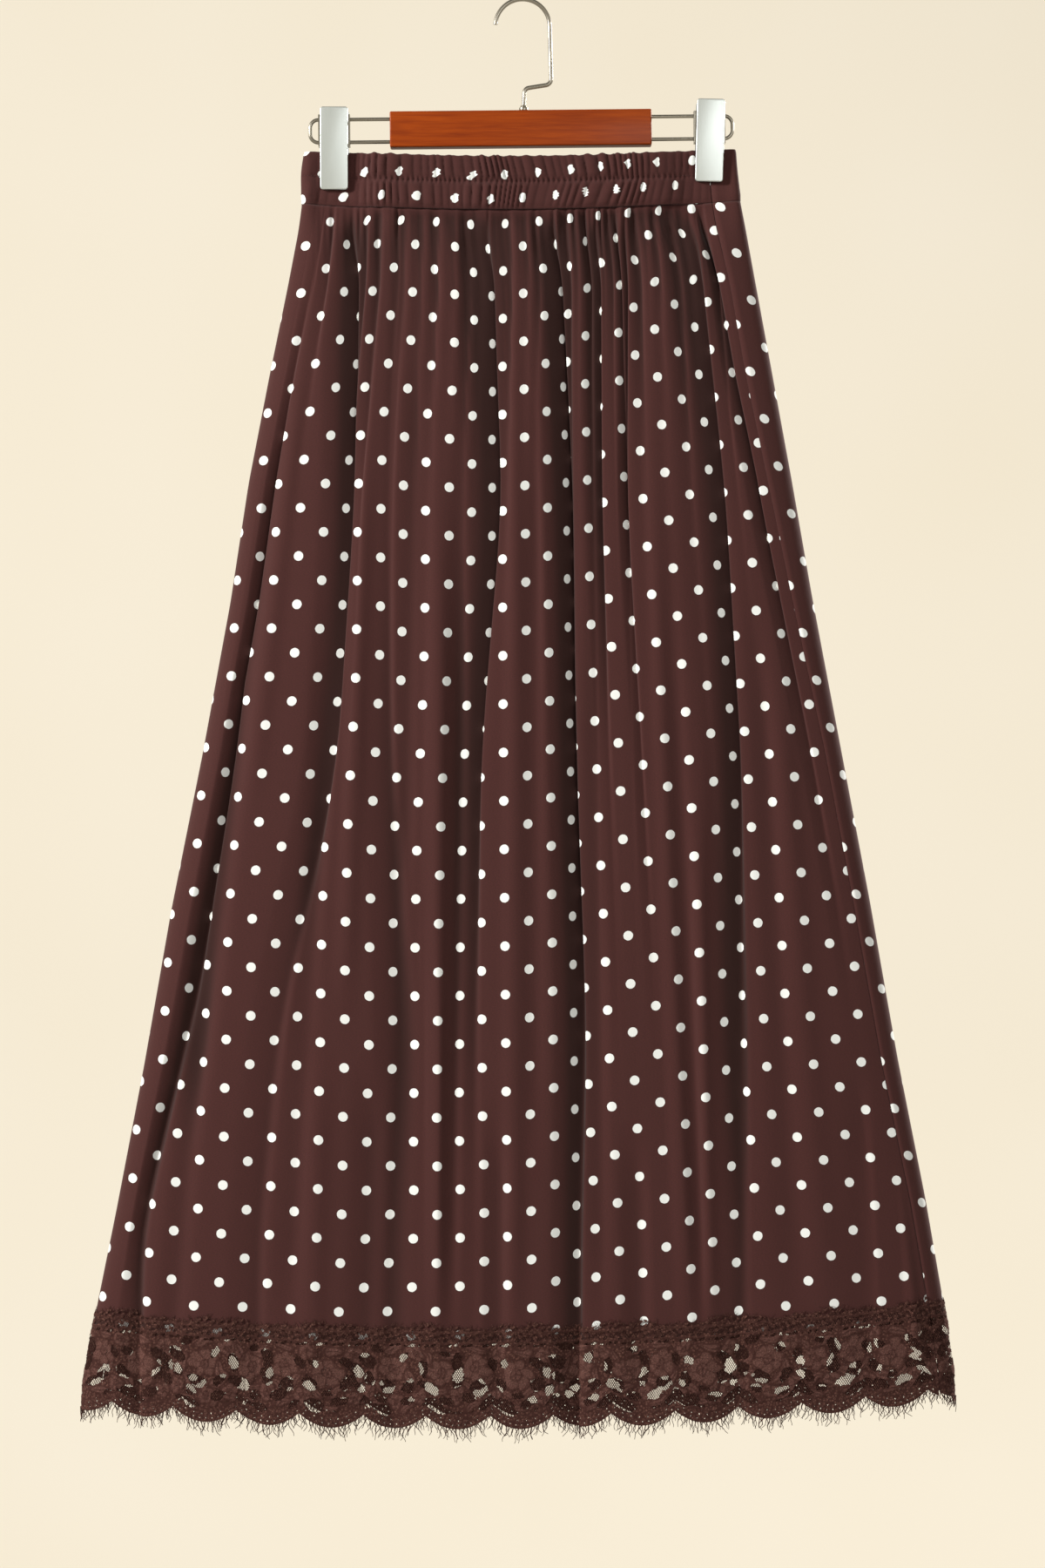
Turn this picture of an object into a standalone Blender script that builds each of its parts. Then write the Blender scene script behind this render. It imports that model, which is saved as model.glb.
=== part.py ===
"""Maxi skirt hung by its gathered waistband from a clip hanger.

Metres, +Z up. The origin is the inner top of the hook, where it sits on a rail.
The front of the skirt faces -Y. Tables are in millimetres; "drop" is the distance
below the origin.
"""

import math
from collections import namedtuple

import bmesh
import bpy
import numpy as np
from mathutils import Matrix, Vector

for old in list(bpy.data.objects):
    bpy.data.objects.remove(old, do_unlink=True)

MM = 0.001
SEAM_GAP = 0.3
CLOTH_WALL = 1.5
BAND_WALL = 2.4
LACE_WALL = 1.2

# The skirt's plain form, before any fold: both silhouettes, the half depth from the middle
# plane to the face, and how far each side seam lies inside its silhouette.
Station = namedtuple("Station", "drop left right depth seam_inset")
STATIONS = (
    Station(118, -171.0, 167.5, 6.6, 21),
    Station(140, -174.5, 169.0, 7.2, 21),
    Station(162, -174.0, 171.5, 8.6, 22),
    Station(185, -177.0, 176.0, 11.0, 23),
    Station(232, -186.0, 184.5, 15.0, 21),
    Station(300, -200.0, 197.0, 18.0, 22),
    Station(385, -216.5, 212.5, 20.0, 20),
    Station(480, -231.0, 229.0, 21.0, 17),
    Station(600, -253.0, 251.5, 22.0, 14),
    Station(723, -277.5, 274.5, 22.0, 14),
    Station(850, -299.5, 296.5, 22.0, 14),
    Station(964, -321.0, 318.5, 22.0, 13),
    Station(1050, -338.0, 333.0, 22.0, 13),
    Station(1110, -348.0, 341.0, 22.0, 13),
)
EDGE_POWER = 3.2

# Long folds, a row each: where the valley lies at five drops, how deep it is there, the width
# of its gentle side (towards -x) and of the steep side that steps forward again.
FOLD_DROPS = (200, 400, 600, 815, 980)
Fold = namedtuple("Fold", "x200 x400 x600 x815 x980 d200 d400 d600 d815 d980 run step")
FRONT_FOLDS = (
    Fold(-172, -206, -232, -269, -306, 0, 5, 9, 8, 5, 13, 3.5),
    Fold(-135, -138, -150, -196, -212, 8, 8, 5, 3, 3, 22, 4.5),
    Fold(-103, -108, -108, -98, -106, 2, 2, 4, 5, 4, 20, 8.0),
    Fold(-29, -22, -38, -42, -40, 8, 9, 7, 4, 1, 28, 4.0),
    Fold(24, 33, 36, 41, 38, 10, 12, 12, 10, 8, 18, 3.5),
    Fold(57, 58, 66, 76, 84, 6, 6, 2, 0, 0, 11, 4.0),
    Fold(80, 79, 92, 104, 112, 4, 4, 2, 0, 0, 6, 3.0),
    Fold(134, 154, 165, 166, 168, 6, 8, 9, 8, 4, 24, 5.0),
    Fold(150, 183, 224, 262, 286, 4, 5, 3, 0, 0, 8, 3.5),
)
BACK_FOLDS = (
    Fold(-128, -140, -162, -190, -204, 7, 8, 7, 6, 5, 22, 4.5),
    Fold(-78, -84, -92, -110, -118, 6, 8, 6, 4, 2, 20, 4.0),
    Fold(-36, -34, -30, -28, -34, 9, 11, 12, 10, 8, 20, 4.0),
    Fold(4, 8, 20, 30, 36, 5, 5, 2, 1, 0, 12, 4.0),
    Fold(42, 50, 66, 84, 92, 8, 10, 9, 6, 3, 22, 4.0),
    Fold(84, 92, 112, 132, 142, 4, 4, 2, 0, 0, 9, 4.0),
    Fold(118, 140, 168, 200, 214, 7, 8, 9, 8, 6, 22, 5.0),
    Fold(148, 182, 222, 258, 282, 3, 4, 3, 0, 0, 9, 4.0),
)
LEAN = 0.12
STEEPEST = 0.55
FOLD_SHAPE = ((-1.0, 0.0), (-0.45, 0.55), (0.0, 1.0))
COLUMNS_BETWEEN = 2
SEAM_CLEARANCE = 8
FOLD_START_DROP = 168
FOLD_FULL_DROP = 250

# Gathers under the waistband and how far down they fade.
GATHER_DEPTH = 1.5
GATHER_FADE = 75
GATHER_SLOPE = 0.4

# The clips squeeze the band flat at their own height.
CLIP_X = 148.5
CLIP_HALF_WIDTH = 11
PINCH_DEPTH = 1.5
PINCH_FADE_IN = 30
PINCH_FADE_OUT = 10
CLIP_BOTTOM_DROP = 146
PINCH_END_DROP = 205

BAND_GATHERS = 40
BAND_ROWS = ((0.0, 1.2), (0.22, 1.9), (0.47, 0.7), (0.74, 1.9), (1.0, 0.7))
SKIRT_ROWS = (0, 0.015, 0.04, 0.08, 0.14, 0.225, 0.34, 0.48, 0.64, 0.81, 0.98, 1)
TOP_DROP = 165
HEM_DROP = 1057
EDGE_COLUMNS = 6

LACE_DROP = 57
LACE_END_SHARE = 1.07
SCALLOP_PITCH = 50
SCALLOP_DEPTH = 10.5
SCALLOP_START_X = 24
LASHES_PER_SCALLOP = 8
LASH_LENGTH = 11
LASH_STRIP = 1.3
LASH_WIDTH = 1.6
LASH_WALL = 1.0
LASH_SWAY = 2.0

HANGER_TILT = math.radians(-0.57)
BAR_CENTRE = Vector((-1.4, 0, -101.3)) * MM
BAR_SIZE = Vector((207, 12, 28.4)) * MM
WIRE_RADIUS = 1.45
WIRE_RISE = 9.0
WIRE_BEND = 6.5
LOOP_LEFT_X = -168.2
LOOP_RIGHT_X = 166.1
HOOK_WIRE_RADIUS = 1.7
HOOK_RADIUS = 21.5
CLIP_SIZE = Vector((22, 3.4, 65)) * MM
CLIP_METAL = 1.2
CLIP_STAND_OFF = 6.3
CLIP_LEAN = math.radians(2.0)
SLIDE_SIZE = Vector((25, 8.4, 25)) * MM


def colour(hex_value):
    """Linear RGBA of an sRGB hex value."""
    parts = [int(hex_value[i:i + 2], 16) / 255 for i in (0, 2, 4)]
    return [p / 12.92 if p <= 0.04045 else ((p + 0.055) / 1.055) ** 2.4 for p in parts] + [1]


def finish(name, hex_value, roughness, metallic=0.0):
    """Makes one plain material."""
    made = bpy.data.materials.new(name)
    made.use_nodes = True
    shader = made.node_tree.nodes["Principled BSDF"]
    shader.inputs["Base Color"].default_value = colour(hex_value)
    shader.inputs["Roughness"].default_value = roughness
    shader.inputs["Metallic"].default_value = metallic
    return made


CLOTH = finish("brown_dotted_viscose", "4a2a26", 0.85)
LACE = finish("brown_lace", "4d302a", 0.9)
WOOD = finish("varnished_cherry_wood", "92411c", 0.35)
STEEL = finish("brushed_steel_wire", "b0a898", 0.3, 1.0)
CLIP_METAL_FINISH = finish("pressed_clip_metal", "c9cec8", 0.35, 0.9)


def add_object(name, mesh_maker, material):
    """Turns a bmesh into a named object that faces outwards."""
    bmesh.ops.recalc_face_normals(mesh_maker, faces=mesh_maker.faces)
    mesh = bpy.data.meshes.new(name)
    mesh_maker.to_mesh(mesh)
    mesh_maker.free()
    mesh.materials.append(material)
    made = bpy.data.objects.new(name, mesh)
    bpy.context.collection.objects.link(made)
    return made


# The garment's measured edges, as functions of x.

def band_top(x):
    """Height of the waistband's upper edge, which sags between the clips."""
    return -118.6 - 5.2 * max(0, 1 - (x / 150) ** 2) + 0.006 * x


def band_bottom(x):
    """Height of the seam that joins the waistband to the skirt."""
    return -159.6 - 6.6 * max(0, 1 - (x / 172) ** 2) + 0.008 * x


def hem(x):
    """Height of the cloth's lower edge, lowest near the middle."""
    return -1057.8 + 0.0146 * x + 0.00014 * x * x


def smooth(value):
    """Goes from 0 to 1 with flat ends."""
    value = min(1, max(0, value))
    return value * value * (3 - 2 * value)


def uneven(number):
    """A repeatable value between -1 and 1 for each whole number."""
    return math.sin(number * 12.9898 + 4.1) * 0.6 + math.sin(number * 5.31) * 0.4


def station(drop, turn):
    """The plain form at one drop. turn is 1 for the front and -1 for the back half."""
    drops = [row.drop for row in STATIONS]
    left, right, depth, inset = (
        np.interp(drop, drops, [getattr(row, field) for row in STATIONS])
        for field in ("left", "right", "depth", "seam_inset"))
    if turn < 0:
        left, right = -right, -left
    return left, right, depth, inset


def pinch(x, drop):
    """How strongly the nearer clip squeezes the band at this place, 0 to 1."""
    past = abs(x) - CLIP_X
    fade = PINCH_FADE_OUT if past > 0 else PINCH_FADE_IN
    beside = smooth(1 - (abs(past) - CLIP_HALF_WIDTH - 1) / fade)
    below = smooth(1 - (drop - CLIP_BOTTOM_DROP) / (PINCH_END_DROP - CLIP_BOTTOM_DROP))
    return beside * below


def plain_depth(x, drop, turn):
    """Distance from the middle plane to the unfolded face at x."""
    left, right, depth, _ = station(drop, turn)
    across = min(1, abs(2 * x - left - right) / (right - left))
    full = depth * (1 - across ** EDGE_POWER) ** (1 / EDGE_POWER)
    return full + (min(full, PINCH_DEPTH) - full) * pinch(x, drop)


def edge_points(drop, turn):
    """The wrapped side edge: from the hidden side's seam round the silhouette to the face."""
    left, _, _, inset = station(drop, turn)
    hidden = [(left + reach, 1) for reach in (inset - SEAM_GAP / 2, inset * 0.6, 3)]
    shown = [(left, 0)] + [(left + reach, -1) for reach in (3, 10)]
    return [(x, side * plain_depth(x, drop, turn)) for x, side in hidden + shown]


def face_points(folds, drop, turn):
    """The face from beside the silhouette to its far seam, with its long folds."""
    left, right, _, inset = station(drop, turn)
    rise = smooth((drop - FOLD_START_DROP) / (FOLD_FULL_DROP - FOLD_START_DROP))
    end = right - inset - SEAM_GAP / 2
    spots = []
    before = left + 10
    for order, fold in enumerate(folds):
        valley = np.interp(drop, FOLD_DROPS, fold[0:5])
        room = (len(folds) - order) * SEAM_CLEARANCE + fold.step
        valley = min(max(valley, before + SEAM_CLEARANCE), end - room)
        deep = np.interp(drop, FOLD_DROPS, fold[5:10]) * rise
        reach = min(fold.run, (valley - before) * 0.6)
        start = valley - reach
        deep = min(deep, STEEPEST * (reach + fold.step))
        for step in range(1, COLUMNS_BETWEEN + 1):
            spots.append((before + (start - before) * step / (COLUMNS_BETWEEN + 1), 0))
        for share, part in FOLD_SHAPE:
            spots.append((valley + share * reach, part * deep))
        before = valley + fold.step
        spots.append((before, 0))
    for step in range(1, COLUMNS_BETWEEN + 2):
        spots.append((before + (end - before) * step / (COLUMNS_BETWEEN + 1), 0))
    points = []
    for x, inward in spots:
        points.append((x + LEAN * inward, -plain_depth(x, drop, turn) + inward))
    return points


def gather(column, drop):
    """Ridge or valley of a small gather that fades below the waistband."""
    fade = math.exp(-(drop - TOP_DROP) / (GATHER_FADE * (1 + 0.5 * uneven(column // 2))))
    return GATHER_DEPTH * (0.8 + 0.35 * uneven(column)) * (-1) ** column * fade


def seam_way(x, drop, turn, side):
    """Outward direction of the plain form at a side seam, shared by both halves."""
    change = plain_depth(x + 1, drop, turn) - plain_depth(x - 1, drop, turn)
    return Vector((-change, 2 * side)).normalized()


def outward(points):
    """Mitred outward directions of a section that runs from -x to +x along the front."""
    directions = []
    for i in range(len(points)):
        here = Vector(points[i])
        normals = []
        if i > 0:
            along = (here - Vector(points[i - 1])).normalized()
            normals.append(Vector((along.y, -along.x)))
        if i < len(points) - 1:
            along = (Vector(points[i + 1]) - here).normalized()
            normals.append(Vector((along.y, -along.x)))
        total = sum(normals, Vector((0, 0))).normalized()
        cosine = max(0.66, total.dot(normals[0]))
        directions.append(total / cosine)
    return directions


def panel_ways(plan, drop, turn):
    """Outward directions of a panel's section, with its seam ends squared to the plain form."""
    ways = outward(plan)
    ways[0] = seam_way(plan[0][0], drop, turn, 1)
    ways[-1] = seam_way(plan[-1][0], drop, turn, -1)
    return ways


class Panel:
    """Front or back half of the skirt. The back is worked out as a front and turned round."""

    def __init__(self, name, turn, folds):
        self.name = name
        self.turn = turn
        self.sections = [self.section(share, folds) for share in SKIRT_ROWS]
        self.lace_end = self.section(LACE_END_SHARE, folds)

    def section(self, share, folds):
        """Plan points of one row, hem at share 1, with their outward directions."""
        drop = TOP_DROP + share * (HEM_DROP - TOP_DROP)
        plan = edge_points(drop, self.turn) + face_points(folds, drop, self.turn)
        for column in range(EDGE_COLUMNS, len(plan) - 2):
            x, y = plan[column]
            room = GATHER_SLOPE * min(x - plan[column - 1][0], plan[column + 1][0] - x)
            ridge = gather(column, drop) * (1 - 0.8 * pinch(x, drop))
            plan[column] = (x, y - max(-room, min(room, ridge)))
        return plan, panel_ways(plan, drop, self.turn)

    def place(self, x, y, z):
        """A point of the worked-out form in the garment's own place."""
        return Vector((self.turn * x, self.turn * y, z)) * MM

    def height(self, x, share):
        """Height at a share of the way from the band's seam to the hem, and past it."""
        top = band_bottom(self.turn * x) - SEAM_GAP
        return top + (hem(self.turn * x) - top) * share

    def row(self, section, share, out):
        """Row of points, moved out from the middle of the cloth's wall."""
        placed = []
        for point, way in zip(*section):
            x, y = Vector(point) + way * out
            placed.append(self.place(x, y, self.height(point[0], share)))
        return placed


def close_side(made, outer_side, inner_side):
    """Closes one end of a wall: quads, or a fan from below where the inside has fewer rows."""
    if len(outer_side) != len(inner_side):
        rim = [inner_side[0]] + outer_side
        for near, far in zip(rim, rim[1:]):
            made.faces.new([inner_side[-1], near, far])
        return
    for row in range(len(outer_side) - 1):
        made.faces.new([outer_side[row], outer_side[row + 1],
                        inner_side[row + 1], inner_side[row]])


def wall(rows_out, rows_in):
    """Closed wall between an outer and an inner grid that have the same columns."""
    made = bmesh.new()
    outer = [[made.verts.new(point) for point in row] for row in rows_out]
    inner = [[made.verts.new(point) for point in row] for row in rows_in]
    for grid in (outer, inner):
        for upper, lower in zip(grid, grid[1:]):
            for i in range(len(upper) - 1):
                made.faces.new([upper[i], lower[i], lower[i + 1], upper[i + 1]])
    for edge in (0, -1):
        for i in range(len(outer[0]) - 1):
            made.faces.new([outer[edge][i], outer[edge][i + 1],
                            inner[edge][i + 1], inner[edge][i]])
    for end in (0, -1):
        close_side(made, [row[end] for row in outer], [row[end] for row in inner])
    return made


def add_skirt_panel(panel):
    """Gathered and folded main panel."""
    half = CLOTH_WALL / 2
    rows = list(zip(panel.sections, SKIRT_ROWS))
    outer = [panel.row(section, share, half) for section, share in rows]
    inner = [panel.row(section, share, -half) for section, share in rows]
    add_object("skirt_" + panel.name, wall(outer, inner), CLOTH)


def band_plan(turn, share):
    """Plan points, outward directions and ridge heights of the waistband at one height."""
    drop = -band_top(0) + share * (band_top(0) - band_bottom(0))
    left, right, _, inset = station(drop, turn)
    start = left + 4
    end = right - inset - SEAM_GAP / 2
    columns = 2 * BAND_GATHERS
    plan = edge_points(drop, turn)[:-2]
    plan = plan + [(start, -plain_depth(start, drop, turn))]
    ridges = [0] * len(plan)
    for column in range(1, columns + 1):
        shift = 0.25 * uneven(column) if column < columns else 0
        x = start + (end - start) * (column + shift) / columns
        plan.append((x, -plain_depth(x, drop, turn)))
        lift = (0.8 + 0.3 * uneven(column * 3)) * (1 - 0.85 * pinch(x, drop))
        ridges.append(lift if column % 2 and column < columns else 0)
    return plan, panel_ways(plan, drop, turn), ridges


def add_waistband(panel):
    """Elastic casing: gathers raised outside, plain inside."""
    outer = []
    inner = []
    for share, ridge_height in BAND_ROWS:
        plan, ways, ridges = band_plan(panel.turn, share)
        out_row = []
        in_row = []
        for (x, y), way, ridge in zip(plan, ways, ridges):
            z = band_top(panel.turn * x) * (1 - share) + band_bottom(panel.turn * x) * share
            far = Vector((x, y)) + way * (BAND_WALL / 2 + ridge * ridge_height)
            near = Vector((x, y)) - way * BAND_WALL / 2
            out_row.append(panel.place(far.x, far.y, z))
            in_row.append(panel.place(near.x, near.y, z))
        outer.append(out_row)
        if share in (0, 1):
            inner.append(in_row)
    add_object("waistband_" + panel.name, wall(outer, inner), CLOTH)


class LaceEdge:
    """The lace's columns along one panel: the cloth's own columns and the scallops' notches."""

    def __init__(self, panel):
        points = [Vector(point) for point in panel.lace_end[0]]
        lengths = [0.0]
        for before, after in zip(points, points[1:]):
            lengths.append(lengths[-1] + (after - before).length)
        self.lengths = lengths
        columns = list(range(len(points)))
        self.first_notch = np.interp(SCALLOP_START_X, [p.x for p in points[3:]], lengths[3:])
        self.first_notch %= SCALLOP_PITCH
        stops = set(columns)
        notch = self.first_notch
        while notch < lengths[-1]:
            column = float(np.interp(notch, lengths, columns))
            if abs(column - round(column)) > 0.15:
                stops.add(column)
            notch += SCALLOP_PITCH
        self.stops = sorted(stops)

    def scallop(self, column):
        """How far the scalloped edge hangs below its notches."""
        length = np.interp(column, range(len(self.lengths)), self.lengths)
        across = ((length - self.first_notch) / SCALLOP_PITCH) % 1
        return SCALLOP_DEPTH * (1 - (2 * across - 1) ** 2)


    def lash_cuts(self):
        """Lengths where the strip is cut across, and which of its cells carry a strand."""
        total = self.lengths[-1]
        pitch = SCALLOP_PITCH / LASHES_PER_SCALLOP
        count = int(total / pitch)
        corners = list(np.interp(self.stops, range(len(self.lengths)), self.lengths))
        cuts = [0.0]
        lash_cells = set()
        for order in range(count):
            start = (order + 0.5) * total / count - LASH_WIDTH / 2
            cuts += [c for c in corners if cuts[-1] + 0.4 < c < start - 0.4]
            lash_cells.add(len(cuts))
            cuts += [start, start + LASH_WIDTH]
        cuts.append(total)
        return cuts, lash_cells


def between(section, column):
    """Point and outward direction of a section at a fractional column."""
    points, ways = section
    low = min(int(column), len(points) - 2)
    part = column - low
    point = Vector(points[low]).lerp(Vector(points[low + 1]), part)
    return point, ways[low].lerp(ways[low + 1], part)


def lace_point(panel, section, column, out, share=None, below=0.0):
    """Point on the lace at a column: at a share of the panel, or below the hem by a length."""
    point, way = between(section, column)
    moved = point + way * (CLOTH_WALL / 2 + SEAM_GAP + out)
    z = panel.height(point.x, share if share else 1) - below
    return panel.place(moved.x, moved.y, z)


def add_lace(panel, edge):
    """Lace trim, laid over the hem from outside, with its scalloped lower edge."""
    grids = []
    for out in (LACE_WALL, 0):
        rows = []
        for row in (-2, -1):
            share = SKIRT_ROWS[row]
            rows.append([lace_point(panel, panel.sections[row], column, out, share=share)
                         for column in edge.stops])
        rows.append([lace_point(panel, panel.lace_end, column, out,
                                below=LACE_DROP + edge.scallop(column))
                     for column in edge.stops])
        grids.append(rows)
    add_object("lace_" + panel.name, wall(*grids), LACE)


def add_lash_fringe(panel, edge):
    """Eyelash strands that hang from a narrow strip along the lace's scallops."""
    drops = [LACE_DROP + edge.scallop(column) for column in edge.stops]
    made = bmesh.new()
    inner_face = (LACE_WALL - LASH_WALL) / 2
    cuts, lash_cells = edge.lash_cuts()
    rings = []
    for cut in cuts:
        column = float(np.interp(cut, edge.lengths, range(len(edge.lengths))))
        below = float(np.interp(column, edge.stops, drops)) + SEAM_GAP
        rings.append([
            made.verts.new(lace_point(panel, panel.lace_end, column, out, below=below + extra))
            for out, extra in ((inner_face, LASH_STRIP), (inner_face, 0),
                               (inner_face + LASH_WALL, 0),
                               (inner_face + LASH_WALL, LASH_STRIP))])
    made.faces.new(rings[0])
    made.faces.new(rings[-1][::-1])
    for order, (here, there) in enumerate(zip(rings, rings[1:])):
        for side in range(3):
            made.faces.new([here[side], here[side + 1], there[side + 1], there[side]])
        root = [here[3], here[0], there[0], there[3]]
        if order not in lash_cells:
            made.faces.new(root)
            continue
        centre = sum((vert.co for vert in root), Vector()) / 4
        length = LASH_LENGTH * (0.85 + 0.25 * uneven(order))
        sway = LASH_SWAY * uneven(order * 7)
        tip = made.verts.new(centre + Vector((sway, 0, -length)) * MM)
        for near, far in zip(root, root[1:] + root[:1]):
            made.faces.new([near, far, tip])
    add_object("lash_fringe_" + panel.name, made, LACE)


# Hanger: wooden bar, two wire loops, hook and ferrule, and two sliding clips.

def add_tube(name, points, radius, material, parent):
    """Round wire through the given points, in metres."""
    curve = bpy.data.curves.new(name, "CURVE")
    curve.dimensions = "3D"
    curve.bevel_depth = radius * MM
    curve.bevel_resolution = 2
    curve.use_fill_caps = True
    spline = curve.splines.new("POLY")
    spline.points.add(len(points) - 1)
    for target, point in zip(spline.points, points):
        target.co = (*point, 1)
    curve.materials.append(material)
    made = bpy.data.objects.new(name, curve)
    bpy.context.collection.objects.link(made)
    made.parent = parent
    return made


def arc(centre_x, centre_z, radius, start, end, steps):
    """Points of an arc in the XZ plane, angles in degrees from +x."""
    points = []
    for step in range(steps + 1):
        angle = math.radians(start + (end - start) * step / steps)
        points.append(Vector((centre_x + radius * math.cos(angle), 0,
                              centre_z + radius * math.sin(angle))) * MM)
    return points


def box_maker(size):
    """Block centred on its own origin."""
    made = bmesh.new()
    bmesh.ops.create_cube(made, size=1)
    bmesh.ops.scale(made, vec=size, verts=made.verts)
    return made


def round_edges(target, width, segments):
    """Small rounded edges."""
    bevel = target.modifiers.new("edges", "BEVEL")
    bevel.width = width * MM
    bevel.segments = segments
    bevel.limit_method = "ANGLE"


def add_hook():
    """Hook wire: open arc over the rail, straight leg, offset back to the bar's middle."""
    centre_z = HOOK_WIRE_RADIUS - HOOK_RADIUS
    points = arc(0, centre_z, HOOK_RADIUS, 176, 0, 18)
    points += arc(17.6, -61.5, 5, 0, -85, 4)
    points += arc(5.5, -72.5, 4, 95, 180, 3)
    points.append(Vector((1.0, 0, -82.0)) * MM)
    add_tube("hook", points, HOOK_WIRE_RADIUS, STEEL, None)


def add_ferrule():
    """Collar on top of the bar that holds the hook."""
    made = bmesh.new()
    profile = ((0, -82.3), (2.6, -82.3), (2.6, -84.0), (3.7, -84.4), (3.7, -86.9), (0, -86.9))
    verts = [made.verts.new(Vector((radius, 0, z)) * MM) for radius, z in profile]
    edges = [made.edges.new(pair) for pair in zip(verts, verts[1:])]
    bmesh.ops.spin(made, geom=verts + edges, cent=(0, 0, 0), axis=(0, 0, 1),
                   angle=math.tau, steps=14)
    bmesh.ops.remove_doubles(made, verts=made.verts, dist=0.00001)
    made_object = add_object("hook_ferrule", made, STEEL)
    made_object.location = (1.0 * MM, 0, 0)


def add_wire_loop(name, side, end_x, frame):
    """Loop of wire that leaves the bar's end and carries one clip."""
    root_x = side * (BAR_SIZE.x / MM / 2 + SEAM_GAP)
    bend_x = end_x - side * WIRE_BEND
    quarter = 90 if side > 0 else -90
    upper = arc(bend_x, WIRE_RISE - WIRE_BEND, WIRE_BEND, 90, 90 - quarter, 4)
    lower = arc(bend_x, WIRE_BEND - WIRE_RISE, WIRE_BEND, 90 - quarter, 90 - 2 * quarter, 4)
    first = Vector((root_x, 0, WIRE_RISE)) * MM
    last = Vector((root_x, 0, -WIRE_RISE)) * MM
    add_tube(name, [first] + upper + lower + [last], WIRE_RADIUS, STEEL, frame)


def add_clip(label, centre, turn, frame):
    """Clip on its loop: a slide with two wire bores, and a pressed plate on each side."""
    made = add_object("clip_slide_" + label, box_maker(SLIDE_SIZE), STEEL)
    made.parent = frame
    made.location = (centre[0] * MM, 0, 0)
    for order, rise in enumerate((WIRE_RISE, -WIRE_RISE)):
        maker = bmesh.new()
        bmesh.ops.create_cone(maker, cap_ends=True, segments=12, depth=0.04,
                              radius1=(WIRE_RADIUS + SEAM_GAP) * MM,
                              radius2=(WIRE_RADIUS + SEAM_GAP) * MM,
                              matrix=Matrix.Rotation(math.pi / 2, 4, "Y"))
        cutter = add_object("wire_bore_%s_%d" % (label, order), maker, STEEL)
        cutter.parent = frame
        cutter.location = (centre[0] * MM, 0, rise * MM)
        cutter.hide_render = True
        cutter.display_type = "WIRE"
        bore = made.modifiers.new("wire bore", "BOOLEAN")
        bore.operation = "DIFFERENCE"
        bore.object = cutter
    for face, word in ((-1, "front"), (1, "back")):
        maker = box_maker(CLIP_SIZE)
        for polygon in list(maker.faces):
            if polygon.normal.y * face < -0.5:
                bmesh.ops.inset_region(maker, faces=[polygon], thickness=CLIP_METAL * MM)
                reach = -(CLIP_SIZE.y - CLIP_METAL * MM)
                bmesh.ops.translate(maker, verts=polygon.verts,
                                    vec=polygon.normal * reach)
                break
        plate = add_object("clip_%s_%s" % (word, label), maker, CLIP_METAL_FINISH)
        plate.parent = frame
        plate.location = (centre[0] * MM, face * CLIP_STAND_OFF * MM, centre[1] * MM)
        plate.rotation_euler = (-face * CLIP_LEAN, turn, 0)


def add_hanger():
    """Everything the hanger is made of, tilted as it hangs."""
    frame = bpy.data.objects.new("hanger_frame", None)
    bpy.context.collection.objects.link(frame)
    frame.location = BAR_CENTRE
    frame.rotation_euler = (0, HANGER_TILT, 0)
    bar = add_object("hanger_bar", box_maker(BAR_SIZE), WOOD)
    round_edges(bar, 0.9, 2)
    bar.parent = frame
    centre_x = BAR_CENTRE.x / MM
    add_wire_loop("wire_loop_left", -1, LOOP_LEFT_X - centre_x, frame)
    add_wire_loop("wire_loop_right", 1, LOOP_RIGHT_X - centre_x, frame)
    add_clip("left", (-149.0 - centre_x, -14.8), -HANGER_TILT, frame)
    add_clip("right", (148.0 - centre_x, -11.5), math.radians(1.5) - HANGER_TILT, frame)
    add_hook()
    add_ferrule()


def add_skirt():
    """Both halves of the skirt with their waistband, lace and fringe."""
    for name, turn, folds in (("front", 1, FRONT_FOLDS), ("back", -1, BACK_FOLDS)):
        panel = Panel(name, turn, folds)
        edge = LaceEdge(panel)
        add_skirt_panel(panel)
        add_waistband(panel)
        add_lace(panel, edge)
        add_lash_fringe(panel, edge)


add_skirt()
add_hanger()
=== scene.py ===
"""Maxi skirt on a clip hanger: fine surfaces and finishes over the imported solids.

Metres, +Z up, the front faces -Y. Tables are in millimetres; "drop" is the distance below
the hook's inner top, which is the origin.
"""

import math
from collections import namedtuple

import bmesh
import bpy
import numpy as np
from mathutils import Matrix, Vector


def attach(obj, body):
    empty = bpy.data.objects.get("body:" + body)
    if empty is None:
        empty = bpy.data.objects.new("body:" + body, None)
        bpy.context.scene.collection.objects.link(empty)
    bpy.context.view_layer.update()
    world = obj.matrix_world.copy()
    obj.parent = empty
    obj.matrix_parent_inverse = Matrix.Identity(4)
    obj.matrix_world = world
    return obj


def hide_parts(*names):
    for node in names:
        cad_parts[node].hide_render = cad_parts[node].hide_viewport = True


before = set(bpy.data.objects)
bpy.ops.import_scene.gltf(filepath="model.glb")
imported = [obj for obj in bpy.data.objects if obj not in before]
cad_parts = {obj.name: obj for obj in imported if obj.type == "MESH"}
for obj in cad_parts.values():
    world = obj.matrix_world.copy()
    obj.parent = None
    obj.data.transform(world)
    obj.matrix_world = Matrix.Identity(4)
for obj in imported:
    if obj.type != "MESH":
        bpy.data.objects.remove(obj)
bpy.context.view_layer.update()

# Skirt: a front and a back panel of thin brown viscose with white dots, cut wider at the
# hem than at the waist and sewn together at both sides. Their upper edges are gathered into
# the waistband, so the cloth hangs in long folds that open towards the hem.

MM = 0.001

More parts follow.
